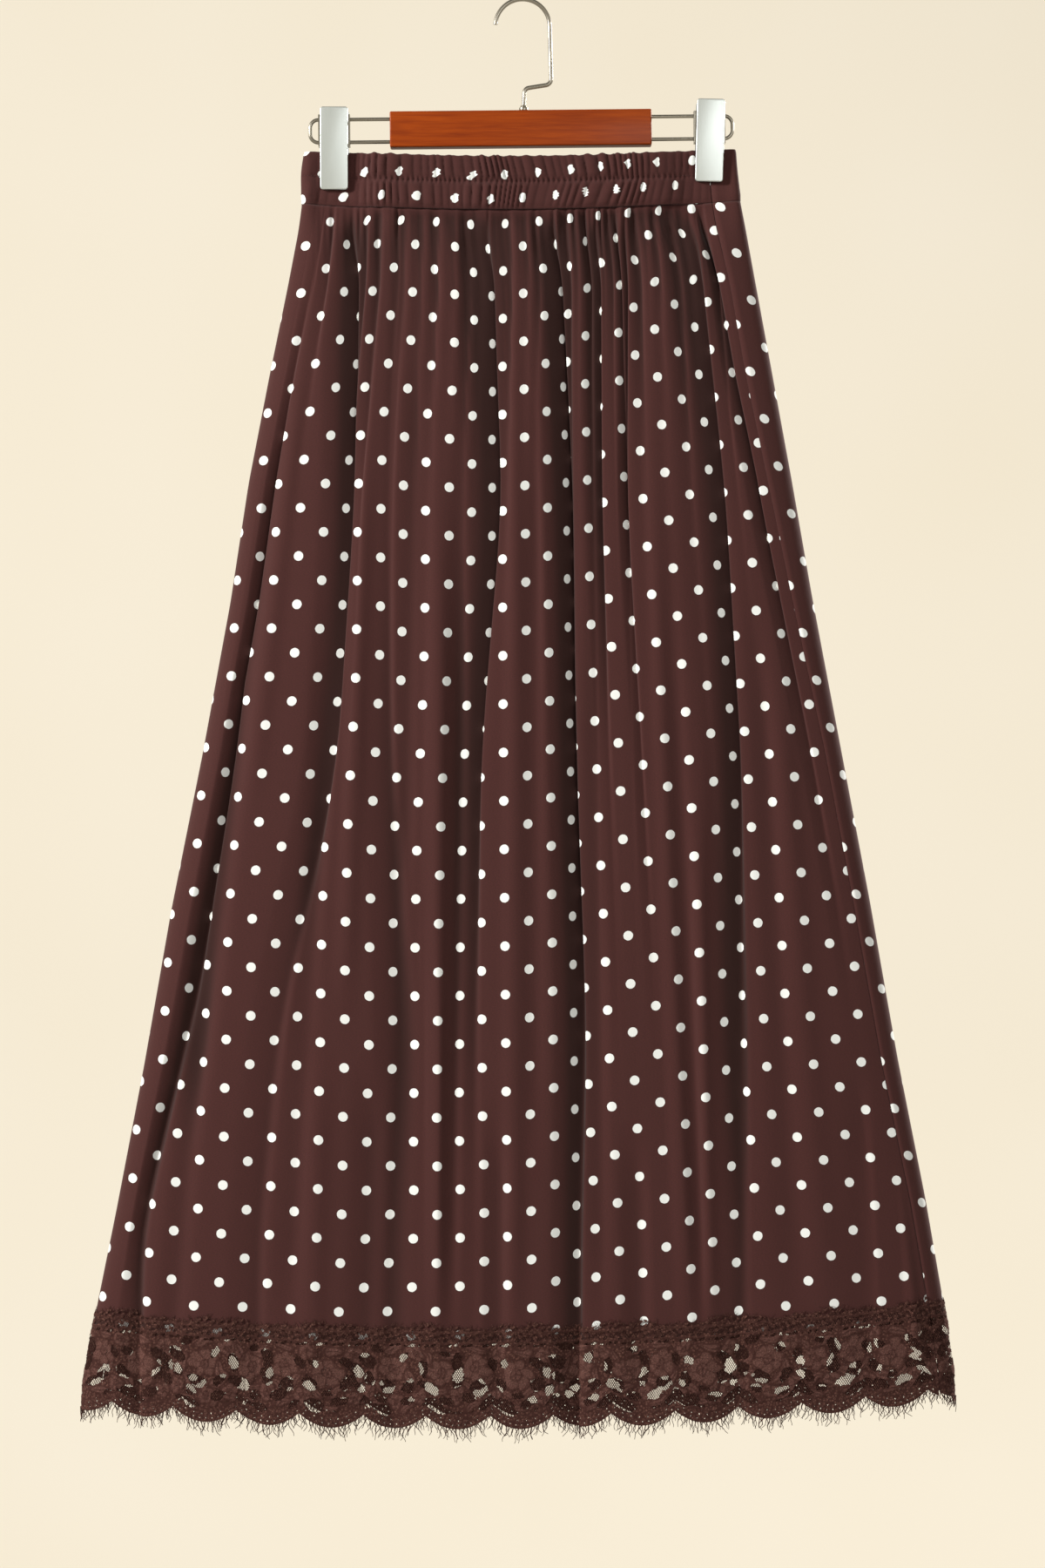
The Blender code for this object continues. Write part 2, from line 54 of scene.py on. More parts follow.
# The form without its folds, an A-line tube pressed flat, is the same as in the solids.
Station = namedtuple("Station", "drop left right depth seam_inset")
STATIONS = (
    Station(118, -171.0, 167.5, 6.6, 21),
    Station(140, -174.5, 169.0, 7.2, 21),
    Station(162, -174.0, 171.5, 8.6, 22),
    Station(185, -177.0, 176.0, 11.0, 23),
    Station(232, -186.0, 184.5, 15.0, 21),
    Station(300, -200.0, 197.0, 18.0, 22),
    Station(385, -216.5, 212.5, 20.0, 20),
    Station(480, -231.0, 229.0, 21.0, 17),
    Station(600, -253.0, 251.5, 22.0, 14),
    Station(723, -277.5, 274.5, 22.0, 14),
    Station(850, -299.5, 296.5, 22.0, 14),
    Station(964, -321.0, 318.5, 22.0, 13),
    Station(1050, -338.0, 333.0, 22.0, 13),
    Station(1110, -348.0, 341.0, 22.0, 13),
)
STATION_REACH = 4
EDGE_POWER = 3.2
TOP_DROP = 165
HEM_DROP = 1057
HEM_HEIGHT = -1057.8
HEM_SLOPE = 0.0146
HEM_BEND = 0.00014
CLIP_X = 148.5
CLIP_HALF = 12
PINCH_INSIDE = 30
PINCH_OUTSIDE = 10
PINCH_DROP = 146
PINCH_FADE = 59
PINCHED_DEPTH = 1.5

# The waistband's edges sag between the clips: drop at the clips, depth and half width of the
# sag, and slope across.
Sag = namedtuple("Sag", "drop depth half_width slope")
BAND_SEAM = Sag(159.6, 6.6, 172, 0.008)


def smooth(value):
    """Goes from 0 to 1 with flat ends."""
    value = np.clip(value, 0, 1)
    return value * value * (3 - 2 * value)


def softened(drop, drops, values, reach):
    """Reads a table at a drop, averaged over a short height so that it has no corners."""
    total = 0
    for step, weight in ((-2, 1), (-1, 2), (0, 3), (1, 2), (2, 1)):
        total = total + weight * np.interp(drop + step * reach, drops, values)
    return total / 9


def sagging(x, edge):
    """Height of an edge of the waistband."""
    hollow = np.maximum(0, 1 - (x / edge.half_width) ** 2)
    return -edge.drop - edge.depth * hollow + edge.slope * x


def hem(x):
    """Height of the cloth's lower edge, lowest near the middle."""
    return HEM_HEIGHT + HEM_SLOPE * x + HEM_BEND * x * x


def station(drop, turn):
    """Left and right silhouette, half depth and seam inset. turn is -1 for the back half."""
    drops = [row.drop for row in STATIONS]
    left, right, depth, inset = (
        softened(drop, drops, [getattr(row, field) for row in STATIONS],
                 STATION_REACH)
        for field in ("left", "right", "depth", "seam_inset"))
    if turn < 0:
        left, right = -right, -left
    return left, right, depth, inset


def pinch(x, drop):
    """How strongly the nearer clip squeezes the cloth at this place, 0 to 1."""
    past = np.abs(x) - CLIP_X
    fade = np.where(past > 0, PINCH_OUTSIDE, PINCH_INSIDE)
    beside = smooth(1 - (np.abs(past) - CLIP_HALF) / fade)
    return beside * smooth(1 - (drop - PINCH_DROP) / PINCH_FADE)


def plain_depth(x, drop, turn):
    """Distance from the middle plane to the unfolded face at x."""
    left, right, depth, _ = station(drop, turn)
    across = np.minimum(1, np.abs(2 * x - left - right) / (right - left))
    full = depth * (1 - across ** EDGE_POWER) ** (1 / EDGE_POWER)
    return full + (np.minimum(full, PINCHED_DEPTH) - full) * pinch(x, drop)


# Long folds: where the deepest line of each lies and how deep it is at five drops, how far
# the cloth runs in towards it and how wide its step back out is.
FOLD_DROPS = (200, 400, 600, 815, 980)
Fold = namedtuple("Fold", "x200 x400 x600 x815 x980 d200 d400 d600 d815 d980 run step")
FRONT_FOLDS = (
    Fold(-172, -206, -232, -269, -306, 0, 5, 9, 8, 5, 13, 3.5),
    Fold(-135, -138, -150, -196, -212, 8, 8, 5, 3, 3, 22, 4.5),
    Fold(-103, -108, -108, -98, -106, 2, 2, 4, 5, 4, 20, 8.0),
    Fold(-29, -22, -38, -42, -40, 8, 9, 7, 4, 1, 28, 4.0),
    Fold(24, 33, 36, 41, 38, 10, 12, 12, 10, 8, 18, 3.5),
    Fold(57, 58, 66, 76, 84, 6, 6, 2, 0, 0, 11, 4.0),
    Fold(80, 79, 92, 104, 112, 4, 4, 2, 0, 0, 6, 3.0),
    Fold(134, 154, 165, 166, 168, 6, 8, 9, 8, 4, 24, 5.0),
    Fold(150, 183, 224, 262, 286, 4, 5, 3, 0, 0, 8, 3.5),
)
BACK_FOLDS = (
    Fold(-128, -140, -162, -190, -204, 7, 8, 7, 6, 5, 22, 4.5),
    Fold(-78, -84, -92, -110, -118, 6, 8, 6, 4, 2, 20, 4.0),
    Fold(-36, -34, -30, -28, -34, 9, 11, 12, 10, 8, 20, 4.0),
    Fold(4, 8, 20, 30, 36, 5, 5, 2, 1, 0, 12, 4.0),
    Fold(42, 50, 66, 84, 92, 8, 10, 9, 6, 3, 22, 4.0),
    Fold(84, 92, 112, 132, 142, 4, 4, 2, 0, 0, 9, 4.0),
    Fold(118, 140, 168, 200, 214, 7, 8, 9, 8, 6, 22, 5.0),
    Fold(148, 182, 222, 258, 282, 3, 4, 3, 0, 0, 9, 4.0),
)
FOLD_LEAN = 0.8
SHOULDER = 0.3
SHOULDER_REACH = 9
STEEPEST = 0.55
FOLD_OPENING = 1.7
FOLD_START = 158
FOLD_RISE = 42
FOLD_GAP = 8
FOLD_REACH = 25
OPENING_DROP = 520
OPENING_REACH = 400
GATHER_STRENGTH = 1.9
CREASE_STRENGTH = 1.5
WAIST_WIDTH = 345.5
WAIST_HALF = 165
EDGE_ROUND = 10
SEAM_GAP = 0.15
PUCKER_PITCH = 4.7
PUCKER_DEPTH = 1.6
PUCKER_FADE = 22

# Small gathers under the waistband: where the valley is there, its depth, its width and
# how far down it fades.
Gather = namedtuple("Gather", "x depth width fade")
FRONT_GATHERS = (
    Gather(-163, 1.6, 6, 60), Gather(-155, 1.2, 5, 40), Gather(-147, 2.4, 8, 110),
    Gather(-127, 1.4, 5, 45), Gather(-121, 2.2, 8, 130), Gather(-111, 2.8, 8, 180),
    Gather(-97, 1.6, 5, 50), Gather(-92, 2.4, 8, 110), Gather(-85, 1.4, 5, 40),
    Gather(-79, 2.6, 8, 150), Gather(-67, 3.0, 9, 210), Gather(-60, 1.4, 5, 45),
    Gather(-54, 2.4, 7, 120), Gather(-44, 3.0, 8, 220), Gather(-36, 2.2, 7, 90),
    Gather(-22, 1.6, 5, 50), Gather(-16, 2.2, 7, 90), Gather(-10, 2.8, 7, 190),
    Gather(-3, 1.4, 5, 45), Gather(3, 2.6, 7, 130), Gather(11, 2.6, 7, 160),
    Gather(17, 1.4, 5, 45), Gather(35, 3.3, 8, 160), Gather(42, 2.5, 6, 70),
    Gather(50, 3.5, 7, 180), Gather(62, 2.1, 4, 40), Gather(68, 2.9, 7, 100),
    Gather(74, 3.1, 6, 150), Gather(89, 3.5, 8, 200), Gather(96, 2.5, 6, 60),
    Gather(104, 3.1, 7, 130), Gather(110, 2.1, 5, 40), Gather(117, 3.7, 9, 230),
    Gather(125, 2.5, 6, 80), Gather(143, 2.9, 7, 120), Gather(151, 2.1, 5, 50),
    Gather(160, 1.4, 6, 60),
)
BACK_GATHERS = (
    Gather(-158, 1.4, 6, 60), Gather(-146, 2.2, 8, 110), Gather(-114, 2.8, 8, 180),
    Gather(-103, 2.0, 7, 80), Gather(-92, 2.6, 8, 130), Gather(-66, 3.0, 9, 200),
    Gather(-55, 2.2, 7, 90), Gather(-45, 2.6, 7, 140), Gather(-24, 2.8, 8, 170),
    Gather(-12, 2.2, 6, 100), Gather(14, 2.8, 8, 150), Gather(24, 2.0, 6, 80),
    Gather(33, 2.6, 7, 180), Gather(56, 2.4, 7, 110), Gather(65, 3.0, 8, 190),
    Gather(76, 2.0, 6, 90), Gather(98, 2.8, 8, 160), Gather(108, 2.2, 7, 100),
    Gather(131, 2.8, 8, 170), Gather(141, 1.8, 6, 80), Gather(157, 1.5, 6, 60),
)

# Long soft troughs and ridges between the folds: x and drop of both ends, the half width
# and how far the cloth lies in (or, below zero, out).
Crease = namedtuple("Crease", "x_top drop_top x_bottom drop_bottom width depth")
FRONT_CREASES = (
    Crease(-196, 300, -262, 900, 16, 1.6), Crease(-170, 260, -214, 640, 12, -1.2),
    Crease(-150, 420, -186, 1057, 14, 1.5), Crease(-122, 300, -140, 800, 12, -1.3),
    Crease(-84, 230, -94, 700, 12, 1.4), Crease(-66, 320, -66, 1057, 13, -1.8),
    Crease(-52, 300, -58, 1057, 9, 1.7), Crease(-6, 230, -8, 1057, 12, -1.6),
    Crease(8, 300, 10, 900, 8, 1.2), Crease(52, 420, 60, 1057, 13, 1.2),
    Crease(98, 300, 130, 1057, 12, -1.3), Crease(112, 420, 142, 1057, 10, 1.5),
    Crease(136, 600, 148, 1057, 9, -1.2), Crease(178, 430, 214, 1057, 14, 1.6),
    Crease(196, 480, 240, 1057, 12, -1.4), Crease(-120, 820, -128, 1120, 15, 2.0),
    Crease(-160, 820, -168, 1120, 14, -1.6), Crease(-250, 700, -282, 1120, 14, 1.6),
    Crease(-20, 860, -22, 1120, 13, 1.8), Crease(86, 880, 92, 1120, 15, 1.8),
    Crease(262, 840, 272, 1120, 13, 1.6), Crease(300, 860, 312, 1120, 10, -1.2),
)
BACK_CREASES = (
    Crease(-188, 300, -250, 980, 16, 1.5), Crease(-160, 320, -176, 1057, 12, -1.4),
    Crease(-118, 280, -140, 900, 12, 1.5), Crease(-60, 300, -66, 1057, 12, -1.5),
    Crease(-8, 260, 4, 1057, 11, 1.5), Crease(36, 400, 56, 1057, 12, -1.4),
    Crease(74, 300, 112, 1057, 11, 1.5), Crease(118, 420, 176, 1057, 13, -1.3),
    Crease(160, 420, 240, 1057, 14, 1.5), Crease(-100, 820, -92, 1120, 14, 1.8),
    Crease(120, 860, 128, 1120, 13, 1.7), Crease(-226, 800, -236, 1120, 14, -1.5),
)
SKIRT_ROWS = 112
SKIRT_WALL = 0.7
# Painted shade in the folds: how dark it gets, the valley depth at which it is full, and the drop
# over which that depth grows.
FOLD_SHADE = 0.92
FOLD_SHADE_DEPTH = 5.6
SHADE_GROWS = 330
HIDDEN_COLUMNS = 10
ROUND_COLUMNS = 7
FLAT_COLUMNS = 15
RUN_COLUMNS = 12
STEP_COLUMNS = 8
LAST_COLUMNS = 20


def edge_columns(left, inset):
    """x and side (1 hidden, -1 shown) of each column of the wrapped side edge."""
    reaches = [((inset - SEAM_GAP) * ((HIDDEN_COLUMNS - k) / HIDDEN_COLUMNS) ** 2.6, 1)
               for k in range(HIDDEN_COLUMNS)]
    reaches.append((0 * inset, -1))
    reaches += [(EDGE_ROUND * (k / ROUND_COLUMNS) ** 2.2 + 0 * inset, -1)
                for k in range(1, ROUND_COLUMNS + 1)]
    return [(left + reach, side) for reach, side in reaches]


def rounded(values):
    """Takes the corners off sections, along their columns."""
    values[:, 1:-1] = (values[:, :-2] + 2 * values[:, 1:-1] + values[:, 2:]) / 4
    return values


def skirt_section(drop, turn, folds, gathers, creases):
    """x and y of every column at each drop, and how deep in a valley each column lies."""
    drop = drop[:, None]
    left, right, _, inset = station(drop, turn)
    rise = smooth((drop - FOLD_START) / FOLD_RISE)
    end = right - inset - SEAM_GAP
    spots = [(x, 0 * drop, side) for x, side in edge_columns(left, inset)]
    before = left + EDGE_ROUND
    carried = 0 * drop
    for order, fold in enumerate(folds):
        valley = softened(drop, FOLD_DROPS, fold[0:5], FOLD_REACH)
        step = fold.step * (1 + FOLD_OPENING * smooth((drop - OPENING_DROP) / OPENING_REACH))
        room = (len(folds) - order) * FOLD_GAP + step
        valley = np.minimum(np.maximum(valley, before + FOLD_GAP), end - room)
        deep = softened(drop, FOLD_DROPS, fold[5:10], FOLD_REACH) * rise
        reach = np.minimum(fold.run, (valley - before) * 0.6)
        deep = np.minimum(deep, STEEPEST * (reach + step))
        start = valley - reach
        for k in range(1, FLAT_COLUMNS + 1):
            passed = (start - before) * k / FLAT_COLUMNS
            spots.append((before + passed, carried * np.exp(-passed / SHOULDER_REACH), -1))
        for k in range(1, RUN_COLUMNS + 1):
            part = k / RUN_COLUMNS
            passed = start - before + reach * part
            left_over = carried * np.exp(-passed / SHOULDER_REACH)
            spots.append((start + reach * part, deep * part ** 1.35 + left_over, -1))
        for k in range(1, STEP_COLUMNS + 1):
            part = k / STEP_COLUMNS
            turned = (1 + math.cos(math.pi * part)) / 2
            inward = deep * (SHOULDER + (1 - SHOULDER) * turned)
            spots.append((valley + step * part, inward, -1))
        before = valley + step
        carried = deep * SHOULDER
    for k in range(1, LAST_COLUMNS + 1):
        passed = (end - before) * k / LAST_COLUMNS
        spots.append((before + passed, carried * np.exp(-passed / SHOULDER_REACH), -1))
    x = np.hstack([spot[0] for spot in spots])
    inward = np.hstack([spot[1] for spot in spots])
    side = np.array([spot[2] for spot in spots])[None, :]
    y = side * plain_depth(x, drop, turn)

    # The small gathers fan out with the cloth; the creases have ends of their own.
    spread = (right - left) / WAIST_WIDTH
    middle = (right + left) / 2
    window = smooth((x - left - 8) / 14) * smooth((end - 2 - x) / 10) * (side < 0)
    for gather in gathers:
        fan = 1 + (spread - 1) * (0.3 + 0.7 * abs(gather.x / WAIST_HALF) ** 3)
        t = (x - middle - gather.x * fan) / (1.15 * gather.width * fan)
        shape = np.where(t < 0, np.clip(1 + t, 0, 1) ** 1.3, SHOULDER * np.exp(-t / 0.45)
                         + (1 - SHOULDER) * smooth(1 - t / 0.22))
        fade = np.exp(-np.maximum(0, drop - TOP_DROP) / gather.fade)
        opened = 0.3 + 0.7 * smooth((drop - TOP_DROP) / 9)
        lies_in = GATHER_STRENGTH * gather.depth * (1 - 0.8 * pinch(x, drop)) * opened
        inward = inward + lies_in * shape * fade * window
    pucker = 0.5 + 0.5 * np.sin(2 * math.pi * x / PUCKER_PITCH + 2.2 * np.sin(x / 9))
    below_seam = np.maximum(0, drop - TOP_DROP)
    seam_fade = np.exp(-below_seam / PUCKER_FADE) * smooth(0.3 + below_seam / 6)
    inward = inward + PUCKER_DEPTH * pucker * seam_fade * window * (1 - pinch(x, drop))
    for crease in creases:
        share = (drop - crease.drop_top) / (crease.drop_bottom - crease.drop_top)
        centre = crease.x_top + (crease.x_bottom - crease.x_top) * share
        ends = smooth(share * 3.5) * smooth((1.06 - share) * 5)
        shape = smooth(1 - np.abs(x - centre) / crease.width)
        inward = inward + CREASE_STRENGTH * crease.depth * shape * ends * window
    swing = np.where(inward > 0, FOLD_LEAN * inward, 0) * smooth((drop - 175) / 60)
    x = rounded(x + swing * (side < 0))
    y = rounded(y + inward)
    return x, y, np.maximum(inward, 0) * window


def cloth_across(x, y, valley, middle_x, left_cut, right_cut):
    """Position across the cut cloth. What the cut has over the seen length lies in valleys."""
    across = np.zeros_like(x)
    for row in range(len(x)):
        steps = np.hypot(np.diff(x[row]), np.diff(y[row]))
        hides = (valley[row, 1:] + valley[row, :-1]) / 2 + 1e-4
        length = np.concatenate([[0], np.cumsum(steps)])
        shown_x = np.maximum.accumulate(x[row][HIDDEN_COLUMNS:])
        anchor = np.interp(middle_x[row], shown_x, length[HIDDEN_COLUMNS:])
        shown = length[HIDDEN_COLUMNS:]
        right_part = length[1:] > anchor
        seen_part = length[1:] > shown[0]
        extra = steps * 0
        for part, cut, seen in ((~right_part & seen_part, left_cut[row], anchor - shown[0]),
                                (right_part, right_cut[row], length[-1] - anchor)):
            share = hides * part * steps
            extra = extra + max(0, cut - seen) * share / max(share.sum(), 1e-9)
            if cut < seen:
                steps = np.where(part, steps * cut / seen, steps)
        total = np.concatenate([[0], np.cumsum(steps + extra)])
        across[row] = total - np.interp(anchor, length, total)
    return across


# How far the print's rows rise across the skirt, at places from its left (-1) to its right
# edge (1), under the waistband and at the hem.
Rise = namedtuple("Rise", "across at_band at_hem")
ROW_RISES = (
    Rise(-1.0, -1.5, 11), Rise(-0.8, 0.5, 5.4), Rise(-0.6, 1.0, 3.8), Rise(-0.4, -0.5, 0.2),
    Rise(-0.2, -3.2, 1.4), Rise(0.0, -1.5, 3.4), Rise(0.2, 1.6, 9.9), Rise(0.4, 5.0, 16.0),
    Rise(0.6, 7.8, 24.4), Rise(0.8, 10.5, 27.6), Rise(1.0, 12.5, 29.4),
)
SEAM_DROP = 166
SEAM_MIDDLE = 166.2
SEAM_TO_HEM = 890
HALF_AT_SEAM = 172
HALF_GAIN = 166

# The cut cloth to the left and right of the dots' middle column: its width at the seam and
# what that gains down to the hem, where the column lies a little to the right.
CUT_LEFT = 236
CUT_LEFT_GAIN = 119
CUT_RIGHT = 229
CUT_RIGHT_GAIN = 96
MIDDLE_SHIFT = 7.6


def down_cloth(x, z):
    """Position down the cut cloth, from the middle of the waistband's seam."""
    share = np.clip((-z - SEAM_DROP) / SEAM_TO_HEM, 0, 1)
    across = x / (HALF_AT_SEAM + HALF_GAIN * share)
    places = [row.across for row in ROW_RISES]
    at_band = np.interp(across, places, [row.at_band for row in ROW_RISES])
    at_hem = np.interp(across, places, [row.at_hem for row in ROW_RISES])
    return -z - SEAM_MIDDLE + at_band + (at_hem - at_band) * share


def skirt_cut(drop):
    """Where the dots' middle column lies, and the cut cloth to its left and right."""
    share = (drop - TOP_DROP) / (HEM_DROP - TOP_DROP)
    left_cut = CUT_LEFT + CUT_LEFT_GAIN * share
    right_cut = CUT_RIGHT + CUT_RIGHT_GAIN * share
    return MIDDLE_SHIFT * share, left_cut, right_cut


def placed(x, y, z, turn):
    """Points of a half in metres. The back is worked out as a front and turned round."""
    return np.stack([turn * x, turn * y, z + 0 * x], axis=-1) * MM


def add_object(name, data):
    """Puts an object with a mesh, curve, lamp or camera into the scene."""
    made = bpy.data.objects.new(name, data)
    bpy.context.collection.objects.link(made)
    return made


def mark_points(mesh, word, values):
    """Stores a value for each point of a mesh, under the name that a material reads."""
    layer = mesh.attributes.new(word, "FLOAT", "POINT")
    layer.data.foreach_set("value", values.astype(np.float32).ravel())


def grid_mesh(name, grid, cloth_u=None, cloth_v=None, fold=None):
    """Mesh of a grid of points, with the cloth's own coordinates as its UV map, in metres,
    and the painted shade deep in its folds at each point as an attribute."""
    rows, columns = grid.shape[:2]
    ids = np.arange(rows * columns).reshape(rows, columns)
    faces = np.stack([ids[:-1, :-1], ids[1:, :-1], ids[1:, 1:], ids[:-1, 1:]], axis=-1)
    mesh = bpy.data.meshes.new(name)
    mesh.from_pydata(grid.reshape(-1, 3), [], faces.reshape(-1, 4).tolist())
    # The painted shade of the folds is stored in the attribute named fold.
    if fold is not None:
        mark_points(mesh, "fold", fold)
    if cloth_u is not None:
        layer = mesh.uv_layers.new(name="cloth")
        flat = np.stack([cloth_u, cloth_v], axis=-1).reshape(-1, 2) * MM
        order = np.zeros(len(mesh.loops), dtype=np.int32)
        mesh.loops.foreach_get("vertex_index", order)
        layer.data.foreach_set("uv", flat[order].astype(np.float32).ravel())
    mesh.shade_smooth()
    return add_object(name, mesh)


def colour(hex_value):
    """Linear RGBA of an sRGB hex value."""
    parts = [int(hex_value[i:i + 2], 16) / 255 for i in (0, 2, 4)]
    return [p / 12.92 if p <= 0.04045 else ((p + 0.055) / 1.055) ** 2.4 for p in parts] + [1]


def new_material(name, roughness, metallic=0.0):
    """Principled material; returns it, ways to add and to join nodes, and its shader."""
    made = bpy.data.materials.new(name)
    made.use_nodes = True
    tree = made.node_tree
    shader = tree.nodes["Principled BSDF"]
    shader.inputs["Roughness"].default_value = roughness
    shader.inputs["Metallic"].default_value = metallic

    def add(kind, settings=None, **links):
        """Adds a node with its settings; links name inputs and give values or sockets."""
        node = tree.nodes.new(kind)
        for field, value in (settings or {}).items():
            setattr(node, field, value)
        for key, value in links.items():
            slot = node.inputs[int(key[1:])] if key[1:].isdigit() else node.inputs[key]
            if isinstance(value, bpy.types.NodeSocket):
                tree.links.new(value, slot)
            else:
                slot.default_value = value
        return node

    def join(output, target):
        """Links an output to an input."""
        tree.links.new(output, target)

    return made, add, join, shader


# Viscose, woven, dyed brown and printed: a matt ground with short uneven slubs, painted
# shade deep in the folds, and dots whose rims bleed a little. The weave is drawn at 0.7 mm a
# thread, coarser than a real one, so that it shows.
DOT_PITCH = 38.2
DOT_RADIUS = 3.8
DOT_ROW_START = -10.3
CLOTH_COLOUR = "4c2320"
CLOTH_DARK = "3a1916"
# Painted shade: the colour that the cloth is darkened towards deep in its folds.
CLOTH_PAINTED_FOLD_SHADE = "280b06"
DOT_COLOUR = "f8f9f4"

dotted_cloth, add, join, shader = new_material("brown_dotted_viscose", 0.86)
cloth_uv = add("ShaderNodeUVMap", {"uv_map": "cloth"})
in_pitches = add("ShaderNodeVectorMath", {"operation": "MULTIPLY_ADD"},
                 _0=cloth_uv.outputs[0], _1=(1000 / DOT_PITCH, 1000 / DOT_PITCH, 0),
                 _2=(0, -DOT_ROW_START / DOT_PITCH, 0))
gaps = []
for shift in (0.0, 0.5):
    moved = add("ShaderNodeVectorMath", {"operation": "ADD"},
                _0=in_pitches.outputs[0], _1=(0.5 + shift, 0.5 + shift, 0))
    cell = add("ShaderNodeVectorMath", {"operation": "FRACTION"}, _0=moved.outputs[0])
    centred = add("ShaderNodeVectorMath", {"operation": "SUBTRACT"},
                  _0=cell.outputs[0], _1=(0.5, 0.5, 0))
    gaps.append(add("ShaderNodeVectorMath", {"operation": "LENGTH"}, _0=centred.outputs[0]))
nearest = add("ShaderNodeMath", {"operation": "MINIMUM"},
              _0=gaps[0].outputs["Value"], _1=gaps[1].outputs["Value"])
bleed = add("ShaderNodeTexNoise", Vector=cloth_uv.outputs[0], Scale=700.0, Detail=2.0)
edge = add("ShaderNodeMath", {"operation": "MULTIPLY_ADD"},
           _0=bleed.outputs[0], _1=0.012, _2=nearest.outputs[0])
dot = add("ShaderNodeMapRange", Value=edge.outputs[0],
          _1=(DOT_RADIUS + 0.3) / DOT_PITCH, _2=(DOT_RADIUS + 0.1) / DOT_PITCH)
slub = add("ShaderNodeMapping", Vector=cloth_uv.outputs[0], Scale=(700, 1900, 1))
slubs = add("ShaderNodeTexNoise", Vector=slub.outputs[0], Scale=1.0, Detail=4.0,
            Roughness=0.75)
mottled = add("ShaderNodeMapRange", Value=slubs.outputs[0], _1=0.32, _2=0.68)
ground = add("ShaderNodeMix", {"data_type": "RGBA"}, Factor=mottled.outputs[0],
             _6=colour(CLOTH_DARK), _7=colour(CLOTH_COLOUR))
# Painted shade: the ground is darkened deep in the folds, under the dots.
fold = add("ShaderNodeAttribute", {"attribute_name": "fold"})
painted_fold_shade_mix = add("ShaderNodeMix", {"data_type": "RGBA"}, Factor=fold.outputs["Fac"],
             _6=ground.outputs[2], _7=colour(CLOTH_PAINTED_FOLD_SHADE))
printed = add("ShaderNodeMix", {"data_type": "RGBA"}, Factor=dot.outputs[0],
              _6=painted_fold_shade_mix.outputs[2], _7=colour(DOT_COLOUR))
join(printed.outputs[2], shader.inputs["Base Color"])
warp = add("ShaderNodeTexWave", {"bands_direction": "X"},
           Vector=cloth_uv.outputs[0], Scale=450.0, Distortion=1.2)
weft = add("ShaderNodeTexWave", {"bands_direction": "Y"},
           Vector=cloth_uv.outputs[0], Scale=450.0, Distortion=1.2)
weave = add("ShaderNodeMath", {"operation": "ADD"},
            _0=warp.outputs["Fac"], _1=weft.outputs["Fac"])
relief = add("ShaderNodeBump", Strength=0.25, Distance=0.0002, Height=weave.outputs[0])
join(relief.outputs[0], shader.inputs["Normal"])
shader.inputs["Sheen Weight"].default_value = 0.15
shader.inputs["Sheen Roughness"].default_value = 0.5
shader.inputs["Specular IOR Level"].default_value = 0.25

HALVES = (("front", 1, FRONT_FOLDS, FRONT_GATHERS, FRONT_CREASES),
          ("back", -1, BACK_FOLDS, BACK_GATHERS, BACK_CREASES))
for name, turn, folds, gathers, creases in HALVES:
    share = np.linspace(0, 1, SKIRT_ROWS) ** 1.25
    drop = TOP_DROP + share * (HEM_DROP - TOP_DROP)
    x, y, valley = skirt_section(drop, turn, folds, gathers, creases)
    top = sagging(turn * x, BAND_SEAM) - 0.05
    z = top + (hem(turn * x) - top) * share[:, None]
    middle_x, left_cut, right_cut = skirt_cut(drop)
    if turn < 0:
        left_cut, right_cut = right_cut, left_cut
    u = cloth_across(x, y, valley, turn * middle_x, left_cut, right_cut)
    v = down_cloth(turn * x, z)
    below_seam = share[:, None] * SEAM_TO_HEM
    # Painted shade: the deeper a column lies in a valley, the darker its colour is painted.
    shade_depth = FOLD_SHADE_DEPTH * (0.75 + 0.25 * smooth(below_seam / SHADE_GROWS))
    panel = grid_mesh("cloth_" + name, placed(x, y, z, turn), u, v,
                      FOLD_SHADE * smooth(valley / shade_depth) ** 2)
    shell = panel.modifiers.new("cloth thickness", "SOLIDIFY")
    shell.thickness = SKIRT_WALL * MM
    shell.offset = 0
    panel.data.materials.append(dotted_cloth)
    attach(panel, "root")
    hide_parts("skirt_" + name)


# Waistband: a casing of the same cloth, gathered on a band of elastic and held in the two
# clips. A row of stitches at mid height parts a narrow frill above from the puffs of the
# casing below, whose lower edge is seamed to the skirt.

BAND_RIM = Sag(118.6, 5.2, 150, 0.006)
BAND_CUT_LEFT = 232
BAND_CUT_RIGHT = 226
BAND_COLUMNS = 380
BAND_ROWS = 40
STITCH_SHARE = 0.47
FRILL_PITCH = 6.2
CASING_PITCH = 6.4
# How dark the valleys between the puffs are painted: painted shade.
CREASE_SHADE = 0.66
BAND_PUCKER_PITCH = 3.9
WELD = 0.000002

# Heights of the puffs, and half the thickness of the casing, at shares of the band's height.
FRILL_HEIGHTS = ((0, 0.2, 0.36, 0.47), (1.7, 2.6, 2.1, 0.4))
CASING_HEIGHTS = ((0.47, 0.56, 0.74, 0.92, 1), (0.4, 1.9, 2.4, 1.8, 0))
HALF_WALLS = ((0, 0.06, 0.88, 1), (0.7, 1.2, 1.2, 0.35))


def uneven(number):
    """A repeatable value between -1 and 1 for each whole number."""
    return np.sin(number * 12.9898 + 4.1) * 0.6 + np.sin(number * 5.31) * 0.4


def outward(x, y):
    """Unit directions that point out of sections, worked out from the points themselves."""
    along_x = np.gradient(x, axis=1)
    along_y = np.gradient(y, axis=1)
    size = np.maximum(np.hypot(along_x, along_y), 1e-9)
    return along_y / size, -along_x / size


